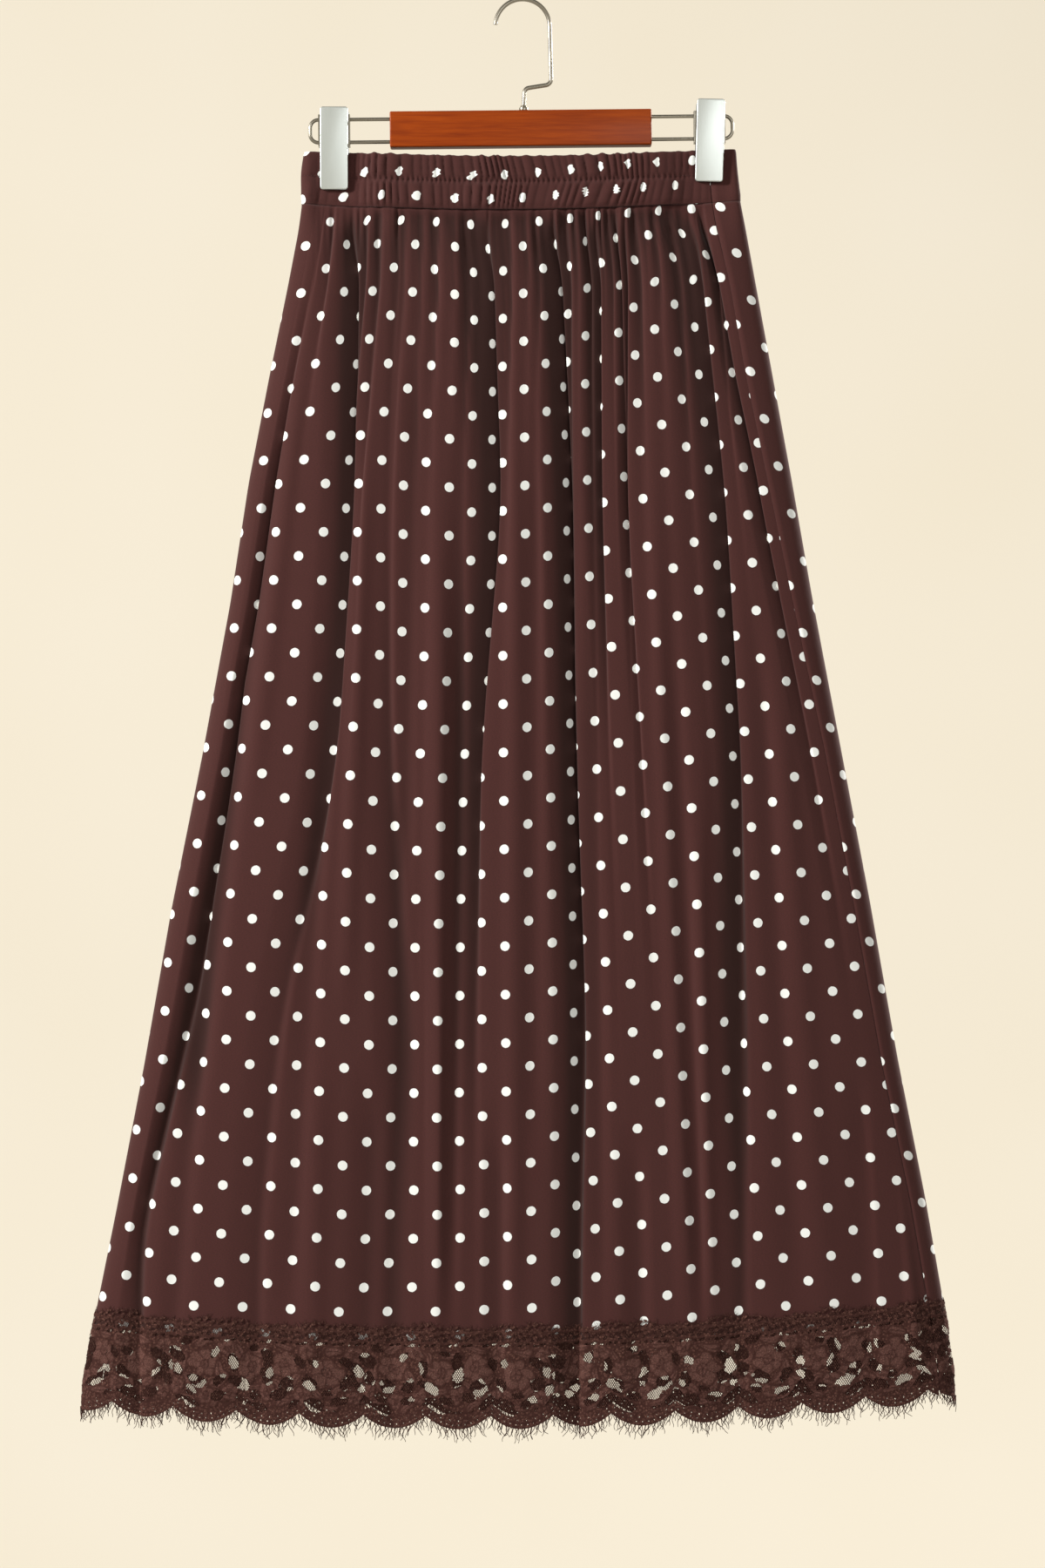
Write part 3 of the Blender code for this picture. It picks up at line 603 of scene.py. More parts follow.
def puffs(x, share, pitch, seed, slant):
    """Rounded ridges with sharp valleys between them, uneven in width and height."""
    moved = x + slant * share * (0.5 + 0.7 * np.sin(x / 43 + seed))
    wander = 4.2 * np.sin(moved / 19 + seed) + 2.8 * np.sin(moved / 8.3 + 2 * seed)
    phase = (moved + wander) / pitch + seed
    number = np.floor(phase)
    ridge = np.abs(np.sin(math.pi * phase)) ** 0.55
    return ridge * (0.72 + 0.55 * uneven(number + 7 * seed)), 1 - ridge


def band_section(share, turn):
    """Plain section of the band at each share of its height."""
    rim = sagging(0, BAND_RIM)
    drop = (-rim + share * (rim - sagging(0, BAND_SEAM)))[:, None]
    left, right, _, inset = station(drop, turn)
    end = right - inset - SEAM_GAP
    spots = [(x, side) for x, side in edge_columns(left, inset)]
    start = left + EDGE_ROUND
    for k in range(1, BAND_COLUMNS + 1):
        spots.append((start + (end - start) * k / BAND_COLUMNS, -1))
    x = np.hstack([spot[0] for spot in spots])
    side = np.array([spot[1] for spot in spots])[None, :]
    return x, side * plain_depth(x, drop, turn), drop, side, left, end


def add_hairs(name, strands, radius, material):
    """Thin three-sided threads, joined; strands holds the points of each, from its root."""
    verts = []
    faces = []
    for strand in strands:
        line = [Vector(point) for point in strand]
        for k, point in enumerate(line):
            along = (line[min(k + 1, len(line) - 1)] - line[max(k - 1, 0)]).normalized()
            side = along.cross(Vector((0, 1, 0))).normalized()
            other = along.cross(side)
            thin = radius * MM * (1 - 0.45 * k / (len(line) - 1))
            base = len(verts)
            for corner in range(3):
                angle = corner * math.tau / 3
                verts.append(point + (side * math.cos(angle) + other * math.sin(angle)) * thin)
            if k:
                for corner in range(3):
                    after = (corner + 1) % 3
                    faces.append((base - 3 + corner, base - 3 + after,
                                  base + after, base + corner))
        first = len(verts) - 3 * len(line)
        faces.append((first + 2, first + 1, first))
        faces.append((len(verts) - 3, len(verts) - 2, len(verts) - 1))
    mesh = bpy.data.meshes.new(name)
    mesh.from_pydata([tuple(v) for v in verts], [], faces)
    mesh.shade_smooth()
    mesh.materials.append(material)
    return add_object(name, mesh)


# Sewing thread in the cloth's brown, matt and fine: each stitch stands a little proud.
STITCH_PITCH = 2.6
STITCH_LENGTH = 1.9
STITCH_THREAD = 0.22

sewing_thread, add, join, shader = new_material("brown_polyester_thread", 0.7)
twist = add("ShaderNodeTexNoise", Vector=add("ShaderNodeTexCoord").outputs["Object"],
            Scale=2500.0, Detail=2.0)
thread_tone = add("ShaderNodeMix", {"data_type": "RGBA"}, Factor=twist.outputs[0],
                  _6=colour("2e1512"), _7=colour("4a2521"))
join(thread_tone.outputs[2], shader.inputs["Base Color"])

for name, turn in (("front", 1), ("back", -1)):
    share = np.linspace(0, 1, BAND_ROWS)
    x, y, drop, side, left, end = band_section(share, turn)
    way_x, way_y = outward(x, y)
    tall = share[:, None]
    window = smooth((x - left - 1) / 6) * smooth((end - x) / 4) * (side < 0)
    window = window * (1 - 0.6 * pinch(x, drop))
    frill, frill_valley = puffs(x, tall, FRILL_PITCH, 1.3 if turn > 0 else 2.9, -9)
    casing, casing_valley = puffs(x, tall, CASING_PITCH, 0.4 if turn > 0 else 1.9, 12)
    to_casing = smooth((tall - STITCH_SHARE + 0.04) / 0.08)
    frill_height = np.interp(tall, *FRILL_HEIGHTS)
    casing_height = np.interp(tall, *CASING_HEIGHTS)
    ridge = frill * frill_height * (1 - to_casing) + casing * casing_height * to_casing
    valley = frill_valley * (1 - to_casing) + casing_valley * to_casing
    near_stitch = np.exp(-((tall - STITCH_SHARE) / 0.05) ** 2)
    pucker = np.sin(2 * math.pi * x / BAND_PUCKER_PITCH + 2 * np.sin(x / 11)) * 0.6
    ridge = ridge + (pucker - 0.45) * near_stitch
    half_wall = np.interp(tall, *HALF_WALLS)
    ridge = ridge * window + half_wall
    far_x, far_y = x + way_x * ridge, y + way_y * ridge
    near_x, near_y = x - way_x * half_wall, y - way_y * half_wall
    edge_wave = 0.8 * np.sin(turn * x / 1.9) * frill * window * (1 - smooth(tall / 0.2))
    rim = sagging(turn * x, BAND_RIM)
    z = rim * (1 - tall) + sagging(turn * x, BAND_SEAM) * tall + edge_wave
    u = cloth_across(far_x, far_y, valley * window, 0 * share,
                     BAND_CUT_LEFT + 0 * share, BAND_CUT_RIGHT + 0 * share)
    v = down_cloth(turn * x, z)
    outer = placed(far_x, far_y, z, turn)
    inner = placed(near_x, near_y, z, turn)
    loop = np.concatenate([outer, inner[::-1], outer[:1]])
    loop_u = np.concatenate([u, u[::-1], u[:1]])
    loop_v = np.concatenate([v, v[::-1], v[:1]])
    # Painted shade: the valleys between the puffs are darkened in the cloth's colour, on the outer
    # face only.
    shade = CREASE_SHADE * valley ** 2 * window
    plain = np.zeros_like(shade)
    loop_painted_shade = np.concatenate([shade, plain, plain[:1]])
    band = grid_mesh("band_" + name, loop, loop_u, loop_v, loop_painted_shade)
    maker = bmesh.new()
    maker.from_mesh(band.data)
    bmesh.ops.remove_doubles(maker, verts=maker.verts, dist=WELD)
    bmesh.ops.holes_fill(maker, edges=[e for e in maker.edges if e.is_boundary], sides=0)
    maker.to_mesh(band.data)
    maker.free()
    band.data.materials.append(dotted_cloth)
    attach(band, "root")
    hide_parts("waistband_" + name)

    line = outer[round(STITCH_SHARE * (BAND_ROWS - 1)), HIDDEN_COLUMNS:]
    length = np.concatenate([[0], np.cumsum(np.linalg.norm(np.diff(line, axis=0), axis=1))])
    starts = np.arange(STITCH_PITCH, length[-1] / MM - STITCH_PITCH, STITCH_PITCH) * MM
    stitches = []
    for part, lift in ((0, -0.1), (0.5, 0.3), (1, -0.1)):
        spots = np.stack([np.interp(starts + part * STITCH_LENGTH * MM, length, line[:, axis])
                          for axis in range(3)], axis=-1)
        spots[:, 1] -= turn * lift * MM
        stitches.append(spots)
    seam = add_hairs("casing_stitches_" + name, np.stack(stitches, axis=1),
                     STITCH_THREAD, sewing_thread)
    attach(seam, "root")


# Lace trim: machine-made cotton lace with flowers and leaves on a net, laid over the hem
# and sewn down along two lines. A dense scalloped border with eyelets and a fringe of
# lashes ends it below, and above the hem its cut edge is loose and fuzzy.

LACE_TOP = -15
LACE_DROP = 57
SCALLOP_PITCH = 50
SCALLOP_DEPTH = 10.5
SCALLOP_START_X = 24
LACE_CELL = 0.82
LACE_OUT = 1.35
BORDER = 9.0
NET_STEP = 1.75
NET_RISE = 1.4
NET_THREAD = 0.36
REPEAT = 150
LASH_PITCH = 1.35
LASH_LENGTH = 11.8
LASH_THREAD = 0.44
LASH_STEPS = 6
FUZZ_PITCH = 1.0
FUZZ_THREAD = 0.2
NET_BOTTOM = 70
BORDER_CORDS = (0.8, 4.8, BORDER)
SEWN_LINES = (0.0, -8.0)

# The skirt's form is carried on under the lace between two drops, in steps, and lengths
# along the lace are measured at the drop of its notches.
FORM_DROPS = (1030, 1142)
FORM_STEP = 8.0
NOTCH_DROP = 1119

# Rows of eyelets in the border: height over its lower edge, pitch, radius and shift.
Eyelets = namedtuple("Eyelets", "height pitch radius shift")
EYELET_ROWS = (Eyelets(3.0, 4.9, 0.6, 0.0), Eyelets(6.4, 6.7, 0.66, 1.3))

# One repeat of the lace, in millimetres along the hem from a notch and down from the hem:
# flowers and leaves are drawn with cords, and the windows between them stay bare net.
Flower = namedtuple("Flower", "along down radius petals turn")
FLOWERS = (
    Flower(24, 21, 12.0, 6, 0.2), Flower(61, 23, 11.0, 5, 0.9), Flower(89, 19, 11.5, 6, 0.5),
    Flower(122, 25, 13.0, 5, 0.1), Flower(42, 8, 7.5, 5, 0.0), Flower(107, 8, 7.0, 5, 0.4),
    Flower(3, 40, 7.0, 5, 0.8), Flower(45, 42, 7.5, 5, 0.3), Flower(74, 41, 7.5, 5, 1.1),
    Flower(102, 43, 7.0, 5, 0.6), Flower(141, 44, 7.0, 5, 0.2), Flower(25, 46, 7.0, 5, 0.5),
    Flower(143, 10, 7.5, 5, 0.9),
)
Leaf = namedtuple("Leaf", "along down half_length half_width turn")
LEAVES = (
    Leaf(38, 26, 8, 3.4, 60), Leaf(8, 22, 9, 3.6, -65), Leaf(13, 34, 8, 3.2, 40),
    Leaf(34, 36, 7, 3.0, -35), Leaf(52, 11, 7, 2.8, 50), Leaf(70, 10, 8, 3.2, -20),
    Leaf(84, 35, 8, 3.2, 30), Leaf(62, 38, 7, 2.8, -15), Leaf(97, 31, 7, 3.0, -60),
    Leaf(112, 40, 8, 3.2, 35), Leaf(131, 39, 7, 3.0, -40), Leaf(126, 8, 8, 3.2, 10),
    Leaf(24, 5, 9, 3.2, -6), Leaf(88, 5, 8, 2.8, 8), Leaf(146, 27, 8, 3.2, 80),
    Leaf(88, 49, 8, 2.6, -18), Leaf(60, 50, 8, 2.6, 20), Leaf(122, 52, 8, 2.6, 0),
    Leaf(36, 51, 7, 2.4, -25), Leaf(12, 50, 7, 2.4, 24),
)
Window = namedtuple("Window", "along down half_length half_width turn")
WINDOWS = (
    Window(3, 15, 7.1, 4.9, 35), Window(10, 5, 4.8, 2.6, 0), Window(4, 28, 5.0, 3.8, 60),
    Window(19, 35, 6.3, 4.6, 25), Window(33, 12, 4.0, 2.7, -50), Window(37, 34, 5.3, 3.5, -50),
    Window(14, 43, 4.5, 2.7, 35), Window(35, 46, 5.3, 3.0, -20), Window(48, 20, 6.1, 3.2, 80),
    Window(50, 33, 4.5, 3.0, 10), Window(55, 36, 5.5, 4.1, 45), Window(75, 15, 6.6, 4.1, 75),
    Window(75, 28, 7.4, 4.3, 100), Window(66, 45, 4.8, 3.0, 15), Window(84, 43, 5.8, 3.5, -15),
    Window(91, 35, 6.3, 5.1, -50), Window(101, 17, 4.8, 2.7, 65), Window(108, 33, 5.8, 4.1, 50),
    Window(111, 17, 3.7, 2.7, 30), Window(113, 48, 6.1, 3.2, 18), Window(131, 47, 6.1, 3.2, -18),
    Window(137, 16, 4.8, 3.2, 25), Window(138, 32, 6.1, 4.3, -40), Window(146, 36, 4.0, 3.0, 70),
    Window(143, 22, 6.6, 4.1, 55), Window(122, 41, 3.7, 2.2, 0), Window(3, 50, 4.8, 2.4, -28),
    Window(53, 49, 4.5, 2.4, 25), Window(97, 50, 4.2, 2.4, -25), Window(65, 8, 3.4, 2.0, 0),
)


def scallop(along):
    """How far the lower edge hangs below its notches."""
    across = (along / SCALLOP_PITCH) % 1
    return SCALLOP_DEPTH * (1 - (2 * across - 1) ** 2)


def from_motif(along, down, motif):
    """Distances along and down from the nearest copy of a motif."""
    return (along - motif.along + REPEAT / 2) % REPEAT - REPEAT / 2, down - motif.down


def in_oval(along, down, oval):
    """How far inside a turned oval a place is, and its distances along and across it."""
    across, below = from_motif(along, down, oval)
    turn = math.radians(oval.turn)
    long = across * math.cos(turn) + below * math.sin(turn)
    wide = -across * math.sin(turn) + below * math.cos(turn)
    inside = oval.half_width * (1 - np.hypot(long / oval.half_length, wide / oval.half_width))
    return inside, long, wide


def lace_shape(along, down, drawn):
    """Positive where the lace is closed, negative in its net and eyelets and outside it;
    drawn is where each place lies along the drawing of the motifs."""
    wander = 0.8 * np.sin(down / 3.1 + drawn / 7.3) + 0.4 * np.sin(drawn / 1.7 + down / 2.3)
    at = drawn + wander
    low = down + 0.7 * np.sin(drawn / 4.3 - down / 5.9) + 0.4 * np.sin(down / 1.5 - drawn / 2.7)
    ragged_rim = 0.5 * np.sin(drawn / 0.83 + down / 2.1) * np.sin(down / 0.77 - drawn / 2.4)
    shape = np.full(along.shape, 3.0)
    for window in WINDOWS:
        shape = np.minimum(shape, -0.4 - 1.05 * in_oval(at, low, window)[0] + ragged_rim)
    pores = np.sin(2.9 * at + 1.5 * np.sin(low / 2.2)) * np.sin(2.6 * low + 1.3 * np.sin(at / 2.7))
    shape = np.minimum(shape, 2.0 * (0.82 - pores))
    above_edge = LACE_DROP + scallop(along) - down
    openings = 3.2 * np.sin(drawn / 7.7 + 0.8) + 1.6 * np.sin(drawn / 3.1) + 0.6
    openings = openings + 1.3 * np.cos((drawn - 60) / 130)
    shape = np.minimum(shape, np.abs(above_edge - BORDER - 4.0) - openings + ragged_rim)
    border = np.minimum(BORDER - above_edge, 3.0)
    for row in EYELET_ROWS:
        moved = along + row.shift + 0.8 * np.sin(along / 9.3 + row.height)
        nearest = (moved + row.pitch / 2) % row.pitch - row.pitch / 2
        border = np.minimum(border, np.hypot(nearest, above_edge - row.height) - row.radius)
    shape = np.where(above_edge < BORDER, border, shape)
    specks = np.sin(along / 0.9 + 2 * np.sin(down / 1.7)) + np.sin(down / 0.8 + along / 2.3)
    heading = specks - 0.1 + 2.5 * np.exp(-((np.abs(down + 4) - 4) / 1.1) ** 2)
    shape = np.where(down < 3, np.minimum(shape, heading), shape)
    ragged = down - LACE_TOP - 2.0 * np.sin(along / 13) - 1.3 * np.sin(along / 4.7 + 1)
    return np.minimum(shape, np.minimum(above_edge, ragged - 2))


def lace_drawing(along, down, drawn):
    """How much of a cord, and of a dense petal or leaf, lies at each place, 0 to 1."""
    cords = np.zeros(drawn.shape)
    petals = np.zeros(drawn.shape)
    at = drawn + 1.3 * np.sin(down / 3.7 + drawn / 6.1) + 0.7 * np.sin(drawn / 2.3 + down / 3.1)
    low = down + 1.2 * np.sin(drawn / 4.1 - down / 5.3) + 0.6 * np.sin(down / 2.1 - drawn / 2.9)
    for flower in FLOWERS:
        across, below = from_motif(at, low, flower)
        reach = np.hypot(across, below)
        angle = np.arctan2(below, across) + flower.turn
        lobe = np.abs(np.cos(angle * flower.petals / 2))
        rim = flower.radius * (0.72 + 0.28 * lobe ** 0.6)
        outline = np.exp(-((reach - rim) / 0.6) ** 2)
        ring = np.exp(-((reach - flower.radius * 0.3) / 0.5) ** 2)
        between = np.exp(-(lobe * reach / 0.9) ** 2) * (reach < rim)
        cords = np.maximum(cords, np.maximum(outline, np.maximum(ring, between)))
        petals = np.maximum(petals, 0.75 * smooth((rim - reach) / 2.5))
    for leaf in LEAVES:
        inside, long, wide = in_oval(at, low, leaf)
        outline = np.exp(-(inside / 0.5) ** 2)
        vein = np.exp(-(wide / 0.45) ** 2) * (np.abs(long) < leaf.half_length * 0.8)
        cords = np.maximum(cords, np.maximum(outline, vein))
        petals = np.maximum(petals, 0.8 * smooth(inside / 1.0))
    above_edge = LACE_DROP + scallop(along) - down
    for height in BORDER_CORDS:
        cords = np.maximum(cords, 0.5 * np.exp(-((above_edge - height) / 0.6) ** 2))
    for seam in SEWN_LINES:
        sewn = np.exp(-((down - seam - 0.8 * np.sin(along / 17)) / 0.7) ** 2)
        cords = np.maximum(cords, 0.8 * sewn)
    return cords, petals * (down > 1)


class LaceGround:
    """Where the lace lies: points of the hem's form, by length along it and depth below."""

    def __init__(self, turn, folds, gathers, creases):
        self.turn = turn
        self.drops = np.arange(*FORM_DROPS, FORM_STEP)
        self.x, self.y, _ = skirt_section(self.drops, turn, folds, gathers, creases)
        self.way_x, self.way_y = outward(self.x, self.y)
        row = np.searchsorted(self.drops, NOTCH_DROP)
        steps = np.hypot(np.diff(self.x[row]), np.diff(self.y[row]))
        length = np.concatenate([[0], np.cumsum(steps)])
        start = np.interp(SCALLOP_START_X, self.x[row, HIDDEN_COLUMNS:],
                          length[HIDDEN_COLUMNS:])
        self.length = length - start
        self.ends = self.length[0], self.length[-1]

    def drawn(self, along):
        """Place in the motifs: the back's run the other way, so that their windows meet."""
        return np.interp(along, self.ends, self.drawn_ends)

    def points(self, along, down, out):
        """Points in metres at arrays of length along, depth below the hem and distance out."""
        column = np.interp(along, self.length, np.arange(len(self.length)))
        low = np.minimum(column.astype(int), len(self.length) - 2)
        part = column - low
        row = np.clip((HEM_DROP + down - self.drops[0]) / FORM_STEP, 0, len(self.drops) - 1.001)
        upper = row.astype(int)
        share = row - upper
        found = []
        for table in (self.x, self.y, self.way_x, self.way_y):
            above = table[upper, low] * (1 - part) + table[upper, low + 1] * part
            below = table[upper + 1, low] * (1 - part) + table[upper + 1, low + 1] * part
            found.append(above * (1 - share) + below * share)
        x, y, way_x, way_y = found
        z = hem(self.turn * x) - down
        return placed(x + way_x * out, y + way_y * out, z, self.turn)

    def strand(self, line):
        """Points in metres of a thread, which stays between the ends of the lace."""
        along, down, out = np.array(line).T
        return self.points(np.clip(along, *self.ends), down, out)


def lace_cells(shape):
    """Outlines of the closed part of each cell of a grid of shape values."""
    corners = []
    faces = []
    known = {}

    def spot(key, row, column):
        if key not in known:
            known[key] = len(corners)
            corners.append((row, column))
        return known[key]

    rows, columns = shape.shape
    around = ((0, 0), (1, 0), (1, 1), (0, 1))
    inside = shape > 0
    count = inside[:-1, :-1] * 1 + inside[1:, :-1] + inside[1:, 1:] + inside[:-1, 1:]
    for row, column in zip(*np.nonzero(count)):
        face = []
        for k in range(4):
            r1, c1 = row + around[k][0], column + around[k][1]
            r2, c2 = row + around[(k + 1) % 4][0], column + around[(k + 1) % 4][1]
            if inside[r1, c1]:
                face.append(spot((r1, c1), r1, c1))
            if inside[r1, c1] != inside[r2, c2]:
                cut = shape[r1, c1] / (shape[r1, c1] - shape[r2, c2])
                key = (min(r1, r2), min(c1, c2), r1 == r2)
                face.append(spot(key, r1 + (r2 - r1) * cut, c1 + (c2 - c1) * cut))
        if len(face) > 2:
            faces.append(face)
    return np.array(corners), faces


def net_threads(ground, first, last):
    """Narrow strips of the net's threads, where the lace isn't closed."""
    columns = np.arange(math.floor(first / NET_STEP), math.ceil(last / NET_STEP))
    rows = np.arange(math.floor(LACE_TOP / NET_RISE), math.ceil(NET_BOTTOM / NET_RISE))
    strips = []
    for lean in (0.5, -0.5):
        col, row = np.meshgrid(columns, rows)
        start_along = (col + 0.5 * (row % 2)) * NET_STEP
        start_down = row * NET_RISE
        end_along = start_along + lean * NET_STEP
        end_down = start_down + NET_RISE
        middle_along = (start_along + end_along) / 2
        middle = lace_shape(middle_along, (start_down + end_down) / 2,
                            ground.drawn(middle_along))
        keep = (middle < 0.3) & (middle > -8.9)
        within = LACE_DROP + scallop(start_along) - end_down > 0.5
        within &= (start_down > LACE_TOP + 3) & (start_along > first + 0.5)
        within &= end_along < last - 0.5
        keep &= within
        tilt = math.atan2(NET_RISE, lean * NET_STEP)
        off_along = -math.sin(tilt) * NET_THREAD / 2
        off_down = math.cos(tilt) * NET_THREAD / 2
        a0, d0, a1, d1 = (t[keep] for t in (start_along, start_down, end_along, end_down))
        strips.append(np.stack([
            np.stack([a0 - off_along, d0 - off_down], -1),
            np.stack([a1 - off_along, d1 - off_down], -1),
            np.stack([a1 + off_along, d1 + off_down], -1),
            np.stack([a0 + off_along, d0 + off_down], -1)], 1))
    strips = np.concatenate(strips)
    flat = strips.reshape(-1, 2)
    points = ground.points(flat[:, 0], flat[:, 1], LACE_OUT - 0.1 + 0 * flat[:, 0])
    faces = np.arange(len(flat)).reshape(-1, 4)
    return points, faces


# Matt cotton thread: dense petals look lighter than the ground, and the raised cords and
# sewn lines are darkened with painted shade. The net and the loops of the thread are drawn a
# little coarser than the real ones, so they show.
lace_thread, add, join, shader = new_material("brown_cotton_lace", 0.92)
cord = add("ShaderNodeAttribute", {"attribute_name": "cord"})
petal = add("ShaderNodeAttribute", {"attribute_name": "petal"})
place = add("ShaderNodeTexCoord")
threads = add("ShaderNodeTexNoise", Vector=place.outputs["Object"], Scale=1100.0, Detail=3.0,
              Roughness=0.7)
speckled = add("ShaderNodeMapRange", Value=threads.outputs[0], _1=0.36, _2=0.64)
loops = add("ShaderNodeTexVoronoi", Vector=place.outputs["Object"], Scale=520.0)
looped = add("ShaderNodeMapRange", Value=loops.outputs["Distance"], _1=0.15, _2=0.6,
             _3=1.0, _4=0.0)
pile = add("ShaderNodeMath", {"operation": "MULTIPLY"},
           _0=speckled.outputs[0], _1=looped.outputs[0])
plain = add("ShaderNodeMix", {"data_type": "RGBA"}, Factor=pile.outputs[0],
            _6=colour("3b201b"), _7=colour("855b4f"))
dense = add("ShaderNodeMix", {"data_type": "RGBA"}, Factor=speckled.outputs[0],
            _6=colour("4a2d27"), _7=colour("765149"))
body = add("ShaderNodeMix", {"data_type": "RGBA"}, Factor=petal.outputs["Fac"],
           _6=plain.outputs[2], _7=dense.outputs[2])
# Painted shade: the cords and sewn lines are darkened along their length.
corded = add("ShaderNodeMix", {"data_type": "RGBA"}, Factor=cord.outputs["Fac"],
             _6=body.outputs[2], _7=colour("3e221d"))
join(corded.outputs[2], shader.inputs["Base Color"])
relief = add("ShaderNodeBump", Strength=0.8, Distance=0.0005, Height=pile.outputs[0])
join(relief.outputs[0], shader.inputs["Normal"])
shader.inputs["Specular IOR Level"].default_value = 0.2

for name, turn, folds, gathers, creases in HALVES:
    ground = LaceGround(turn, folds, gathers, creases)
    first, last = ground.ends
    if turn > 0:
        front_ends = ground.ends
    ground.drawn_ends = front_ends[::turn]
    along_lines = np.linspace(first, last, int((last - first) / LACE_CELL))
    down_lines = np.arange(LACE_TOP - 2, LACE_DROP + SCALLOP_DEPTH + 1, LACE_CELL)
    along, down = np.meshgrid(along_lines, down_lines)
    shape = lace_shape(along, down, ground.drawn(along))
    corners, faces = lace_cells(shape)
    corner_along = np.interp(corners[:, 1], np.arange(len(along_lines)), along_lines)
    corner_down = np.interp(corners[:, 0], np.arange(len(down_lines)), down_lines)
    cords, petals = lace_drawing(corner_along, corner_down, ground.drawn(corner_along))
    swell = 0.45 * cords + 0.3 * petals + 0.12 * np.sin(corner_along * 2.9 + corner_down * 2.1)
    points = ground.points(corner_along, corner_down, LACE_OUT + swell)
    strips, strip_faces = net_threads(ground, first, last)
    mesh = bpy.data.meshes.new("floral_lace_" + name)
    mesh.from_pydata(np.concatenate([points, strips]).tolist(), [],
                     faces + (strip_faces + len(points)).tolist())
    in_net = np.zeros(len(strips))
    # The drawing of the cords is stored to darken them with painted shade.
    mark_points(mesh, "cord", np.concatenate([cords, in_net]))
    mark_points(mesh, "petal", np.concatenate([petals, in_net]))
    mesh.shade_smooth()
    mesh.materials.append(lace_thread)
    lace = add_object("floral_lace_" + name, mesh)
    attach(lace, "root")
    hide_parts("lace_" + name)

    lashes = []
    for order in range(int((last - first) / LASH_PITCH)):
        at = first + (order + 0.5 + 0.35 * uneven(order)) * LASH_PITCH
        reach = LASH_LENGTH * (0.8 + 0.3 * uneven(order * 3 + 1))
        slant = 0.42 * uneven(order * 5 + 2) + 0.16 * math.sin(at / 17)
        curl = 1.2 * uneven(order * 7 + 3)
        low = LACE_DROP + scallop(at) - 0.6
        line = []
        for k in range(LASH_STEPS + 1):
            part = k / LASH_STEPS
            wave = 0.07 * math.sin(7 * part + 3 * order)
            line.append((at + reach * (slant * part + curl * 0.35 * part * part + wave),
                         low + reach * part * (1 - 0.12 * abs(curl) * part),
                         LACE_OUT + 0.8 * math.sin(3 * part + order)))
        lashes.append(ground.strand(line))
    fringe = add_hairs("lashes_" + name, lashes, LASH_THREAD, lace_thread)
    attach(fringe, "root")
    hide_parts("lash_fringe_" + name)

    loose_ends = []
    for order in range(int((last - first) / FUZZ_PITCH)):
        at = first + (order + 0.5) * FUZZ_PITCH
        low = LACE_TOP + 4.5 + 2.0 * math.sin(at / 13) + 1.3 * math.sin(at / 4.7 + 1)
        reach = 3.4 + 2.2 * uneven(order)
        slant = 1.3 * uneven(order * 3)
        line = [(at + slant * reach * part, low - reach * part, LACE_OUT - 0.2 - 0.3 * part)
                for part in (0, 0.35, 0.7, 1)]
        loose_ends.append(ground.strand(line))
    fuzz = add_hairs("lace_fuzz_" + name, loose_ends, FUZZ_THREAD, lace_thread)
    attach(fuzz, "root")


# Wooden bar: the body of the hanger, a straight length of stained hardwood, sawn square,
# with eased edges, bored at both ends for the wire loops and at its top for the collar. Its
# left end hangs a little lower.

HANGER_TILT = math.radians(-0.57)
BAR_X = -1.4
BAR_CENTRE = Vector((BAR_X, 0, -101.3)) * MM
BAR_SIZE = Vector((207, 12, 28.4)) * MM
BAR_EDGE = 1.3 * MM
SMOOTH_UNDER = math.radians(40)
hanger_frame = Matrix.Translation(BAR_CENTRE) @ Matrix.Rotation(HANGER_TILT, 4, "Y")

# Cherry-coloured stain under a thin satin varnish: a warm red brown with a weak shine, faint
# grain about 4 mm wide and 70 mm long, and finer lines of half a millimetre in it.
varnished_wood, add, join, shader = new_material("varnished_cherry_wood", 0.45)
place = add("ShaderNodeTexCoord")
grain_way = add("ShaderNodeMapping", Vector=place.outputs["Object"], Scale=(14, 150, 260))
grain = add("ShaderNodeTexNoise", Vector=grain_way.outputs[0], Scale=1.0, Detail=5.0,
            Roughness=0.6, Distortion=0.4)
fine_way = add("ShaderNodeMapping", Vector=place.outputs["Object"], Scale=(60, 1200, 2200))
fine = add("ShaderNodeTexNoise", Vector=fine_way.outputs[0], Scale=1.0, Detail=3.0)
mixed_grain = add("ShaderNodeMath", {"operation": "MULTIPLY_ADD"},
                  _0=fine.outputs[0], _1=0.35, _2=grain.outputs[0])
wood_tone = add("ShaderNodeMapRange", Value=mixed_grain.outputs[0], _1=0.45, _2=0.95)
wood_colour = add("ShaderNodeMix", {"data_type": "RGBA"}, Factor=wood_tone.outputs[0],
                  _6=colour("7b2a00"), _7=colour("a34403"))
join(wood_colour.outputs[2], shader.inputs["Base Color"])
shader.inputs["Specular IOR Level"].default_value = 0.12
shader.inputs["Coat Weight"].default_value = 0.06
shader.inputs["Coat Roughness"].default_value = 0.2


def add_block(name, size):
    """A block at the origin, which lies wholly in its mesh."""
    bpy.ops.object.select_all(action="DESELECT")
    bpy.ops.mesh.primitive_cube_add(size=1, scale=size)
    bpy.ops.object.transform_apply(location=False, rotation=False, scale=True)
    block = bpy.context.object
    block.name = name
    return block


def ease_edges(piece, width, segments, steepest):
    """Rounds the sharp edges of a piece and shades it smooth between them."""
    eased = piece.modifiers.new("eased edges", "BEVEL")
    eased.width = width
    eased.segments = segments
    eased.limit_method = "ANGLE"
    eased.angle_limit = math.radians(steepest)
    bpy.ops.object.modifier_apply(modifier=eased.name)
    bpy.ops.object.shade_smooth_by_angle(angle=SMOOTH_UNDER)


